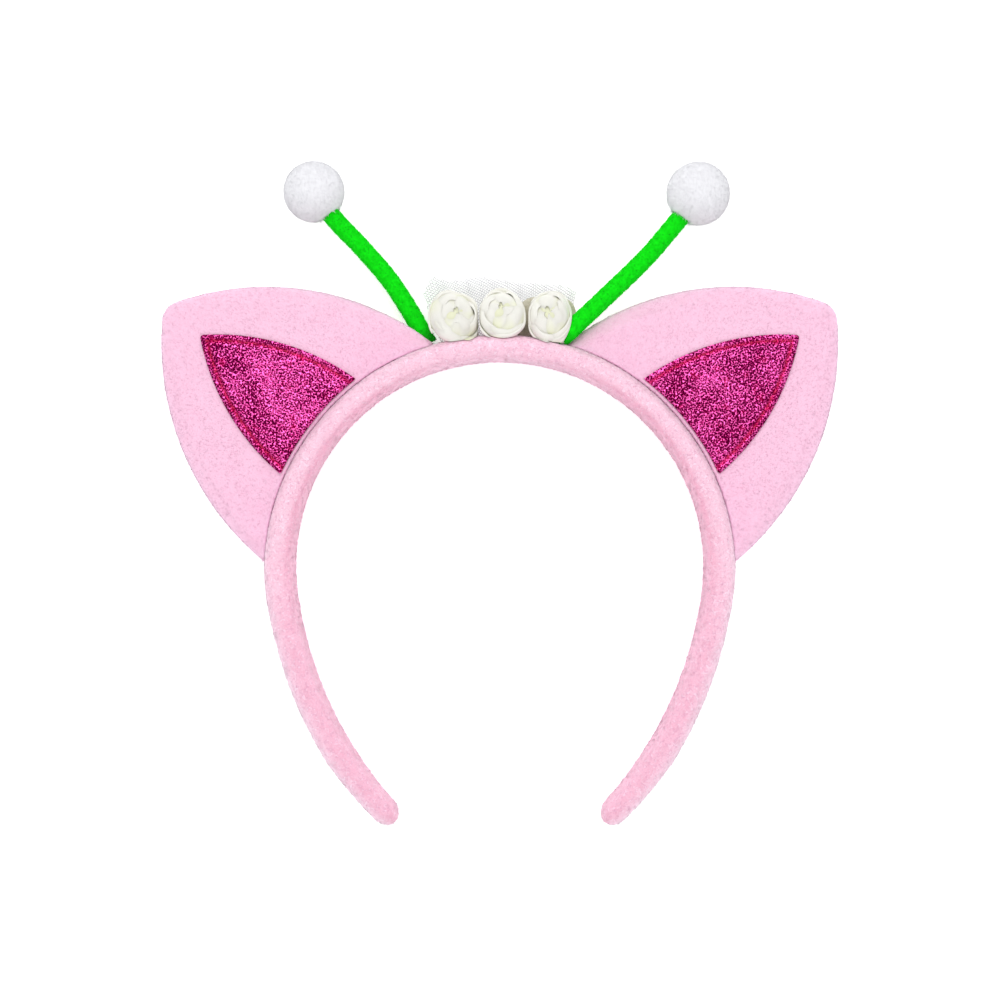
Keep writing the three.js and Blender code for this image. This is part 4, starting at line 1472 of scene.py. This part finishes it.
def add_rose(rose, seed):
    """One rose: its heart and petals, put in place and moved clear of what is round it."""
    chance = np.random.default_rng(seed)
    layers = [core()]
    leaf_faces = petal_faces()
    bud = [(*row[:4], row[4] * rose["open"], *row[5:]) for row in BUD_PETALS]
    for row in PETALS + bud + rose["more"]:
        leaf, fold_shade = petal(*row, chance)
        layers.append((leaf, leaf_faces, fold_shade))
    firsts = np.concatenate([[0], np.cumsum([len(layer[0]) for layer in layers])])
    faces = []
    for first, layer in zip(firsts, layers):
        faces += [tuple(i + first for i in face) for face in layer[1]]
    points = turned(np.vstack([layer[0] for layer in layers]), "Z", rose["spin"])
    points = points * (rose["wide"], rose["tall"], 1)
    points = turned(turned(points, "X", -rose["lift"]), "Y", rose["turn"]) + np.array(rose["place"])
    points = clear_of_band(points)
    points[:, 0] = pressed(points[:, 0], *rose["slot"])
    for line in drawn_stems.values():
        points = clear_of(points, line, STEM_RADIUS + SEAT_GAP)
    return add_piece(f"{rose['name']}_petals", points, faces, foam, [rose["name"]],
                     stored={"deep": np.concatenate([layer[2] for layer in layers])})


for seed, rose in enumerate(ROSES, ROSE_FIRST_SEED):
    add_rose(rose, seed)

# %% [markdown]
# Behind the roses stands a strip of white net, gathered at its foot so that it fans out in six folds.
# Its thread is fine white nylon, painted light grey: the grey is painted shade, which is all of the
# strands that shows against a white table.

# %% Net finish
net_thread = Finish("tulle_white", Roughness=0.7)
strand = net_thread.lumps(0.6)
# Painted shade: the white strands are dyed light grey.
net_thread.show("Base Color", net_thread.blend(strand, dye(200, 200, 204), dye(222, 222, 224)))
print("net nodes:", len(net_thread.tree.nodes))

# %% [markdown]
# Net is a honeycomb of thread. A plain sheet with holes painted on it would be flat, so the strip is
# drawn as six-sided cells, which are folded like the strip, and Blender's Wireframe turns every cell's
# edges into strands.

# %% Gathered net
NET_CELL = 0.85
NET_STRAND = 0.27
NET_BAND_ROOM = 1.12
NET_TURN = math.radians(38)
TULLE = {"folds": 6, "depth": 1.4, "middle": 4.1, "foot": 63.5, "foot_share": 0.72}
TULLE_TOP = np.array([
    (-23.5, 81.0), (-20.0, 87.3), (-14.5, 85.8), (-9.0, 87.0), (-3.0, 87.2),
    (3.0, 85.7), (9.0, 85.5), (15.0, 85.2), (20.5, 84.0), (24.0, 83.0),
])
TULLE_WIDTH = TULLE_TOP[-1, 0] - TULLE_TOP[0, 0]
TULLE_FLAT = 62.0
TULLE_TALLEST = 24.5


def fold_net(flat):
    """Places of flat points, across the strip and up it, on the folded strip."""
    share = flat[:, 0] / TULLE_FLAT
    top_x = TULLE_TOP[0, 0] + TULLE_WIDTH * share
    tall = np.interp(top_x, TULLE_TOP[:, 0], TULLE_TOP[:, 1]) - TULLE["foot"]
    height = flat[:, 1] / tall
    fan_out = TULLE["foot_share"] + (1 - TULLE["foot_share"]) * height
    wave = TULLE["depth"] * np.sin(2 * math.pi * TULLE["folds"] * share)
    places = np.stack([top_x * fan_out, TULLE["foot"] + flat[:, 1], TULLE["middle"] + wave], axis=1)
    return places, height


def honeycomb(width, height):
    """Middles of the six-sided cells that fill a strip, whose rows run across it at a slant."""
    reach = math.ceil((width + height) / NET_CELL)
    column, row = (grid.ravel() for grid in np.meshgrid(*[np.arange(-reach, reach)] * 2))
    places = np.stack([column + row / 2, row * math.sqrt(3) / 2], axis=1) * NET_CELL
    places = places @ flat_turn(NET_TURN)
    return places[((places > NET_CELL) & (places < (width - NET_CELL, height))).all(axis=1)]


cells = honeycomb(TULLE_FLAT, TULLE_TALLEST)
places, height = fold_net(cells)
near_stem = nearest_on(STEM_LINES["left"], places)[1] < STEM_RADIUS + 2 * SEAT_GAP
cells = cells[(height < 1) & (band_reach(places)[0] > NET_BAND_ROOM) & ~near_stem]
spoke_turn = NET_TURN + math.pi / 6 + np.arange(6) * math.pi / 3
ends = (cells[:, None, :] + on_circle(spoke_turn) * NET_CELL / math.sqrt(3)).reshape(-1, 2)
flat_points, order = np.unique(ends.round(2), axis=0, return_inverse=True)
net_points = fold_net(flat_points)[0]
tulle = add_piece("tulle_net", net_points, order.reshape(-1, 6), net_thread, ["tulle"])
strands = tulle.modifiers.new("strands", "WIREFRAME")
strands.thickness = NET_STRAND * MILLIMETRE
strands.use_even_offset = False
strands.use_boundary = True
print("cells of net:", len(cells))

# %% [markdown]
# A small pad of beige felt backs the right rose. It shows as a strip above and beside the flower, and
# its dull grey-beige is partly painted shade, as it lies behind the flower. Felt is pressed wool, so its
# edge is rounded and a little uneven and its surface is mottled.

# %% Felt pad
PAD = {"centre": (14.2, 73.0), "half": (9.0, 8.4), "low": 6.45, "thickness": 1.1, "squareness": 3.2}
PAD_NET = {"corners": 110, "spacing": 0.8, "row": 0.25}
PAD_EDGE = {"width": 0.5, "least": 0.12}
PAD_LUMP = {"depth": 0.08, "size": 1.1, "seed": 81}
felt = Finish("felt_beige", Roughness=0.95, Sheen_Weight=0.15)
mottle = felt.step(felt.lumps(0.8, detail=3.0), low=0.3, high=0.7)
# The grey-beige holds painted shade from behind the flower.
felt.show("Base Color", felt.blend(mottle, dye(186, 180, 160), dye(206, 201, 184)))
felt.relief(felt.lumps(0.35, detail=2.0), depth=0.15, strength=0.6)
pad_turn = np.linspace(0, -2 * math.pi, PAD_NET["corners"], endpoint=False)
pad_outline = PAD["centre"] + signed_power(on_circle(pad_turn), 2 / PAD["squareness"]) * PAD["half"]
pad_far = np.linalg.norm(pad_outline, axis=1)
pad_outline = unit(pad_outline) * np.maximum(pad_far, band_outside(pad_outline, SEAT_GAP))[:, None]
pad_pattern, pad_net = fill_pattern(pad_outline, PAD_NET["spacing"], (PAD_NET["row"],))
pad_inset = rim_distance(pad_outline, pad_pattern) / PAD_EDGE["width"]
pad_round = np.sqrt(np.clip(pad_inset, PAD_EDGE["least"], 1))
pad_flat = np.column_stack([pad_pattern, 0 * pad_round])
pad_lump = PAD_LUMP["depth"] * lumps_at(pad_flat, PAD_LUMP["size"], PAD_LUMP["seed"])
pad_half = PAD["thickness"] / 2
pad_middle = PAD["low"] + pad_half
pad_front = np.column_stack([pad_pattern, pad_middle + pad_half * pad_round + pad_lump])
pad_back = np.column_stack([pad_pattern, pad_middle - pad_half * pad_round])
pad_faces = slab_faces(pad_net, len(pad_outline), len(pad_pattern))
pad = add_piece("rose_backing_felt", np.vstack([pad_front, pad_back]), pad_faces, felt,
                ["rose_backing"])
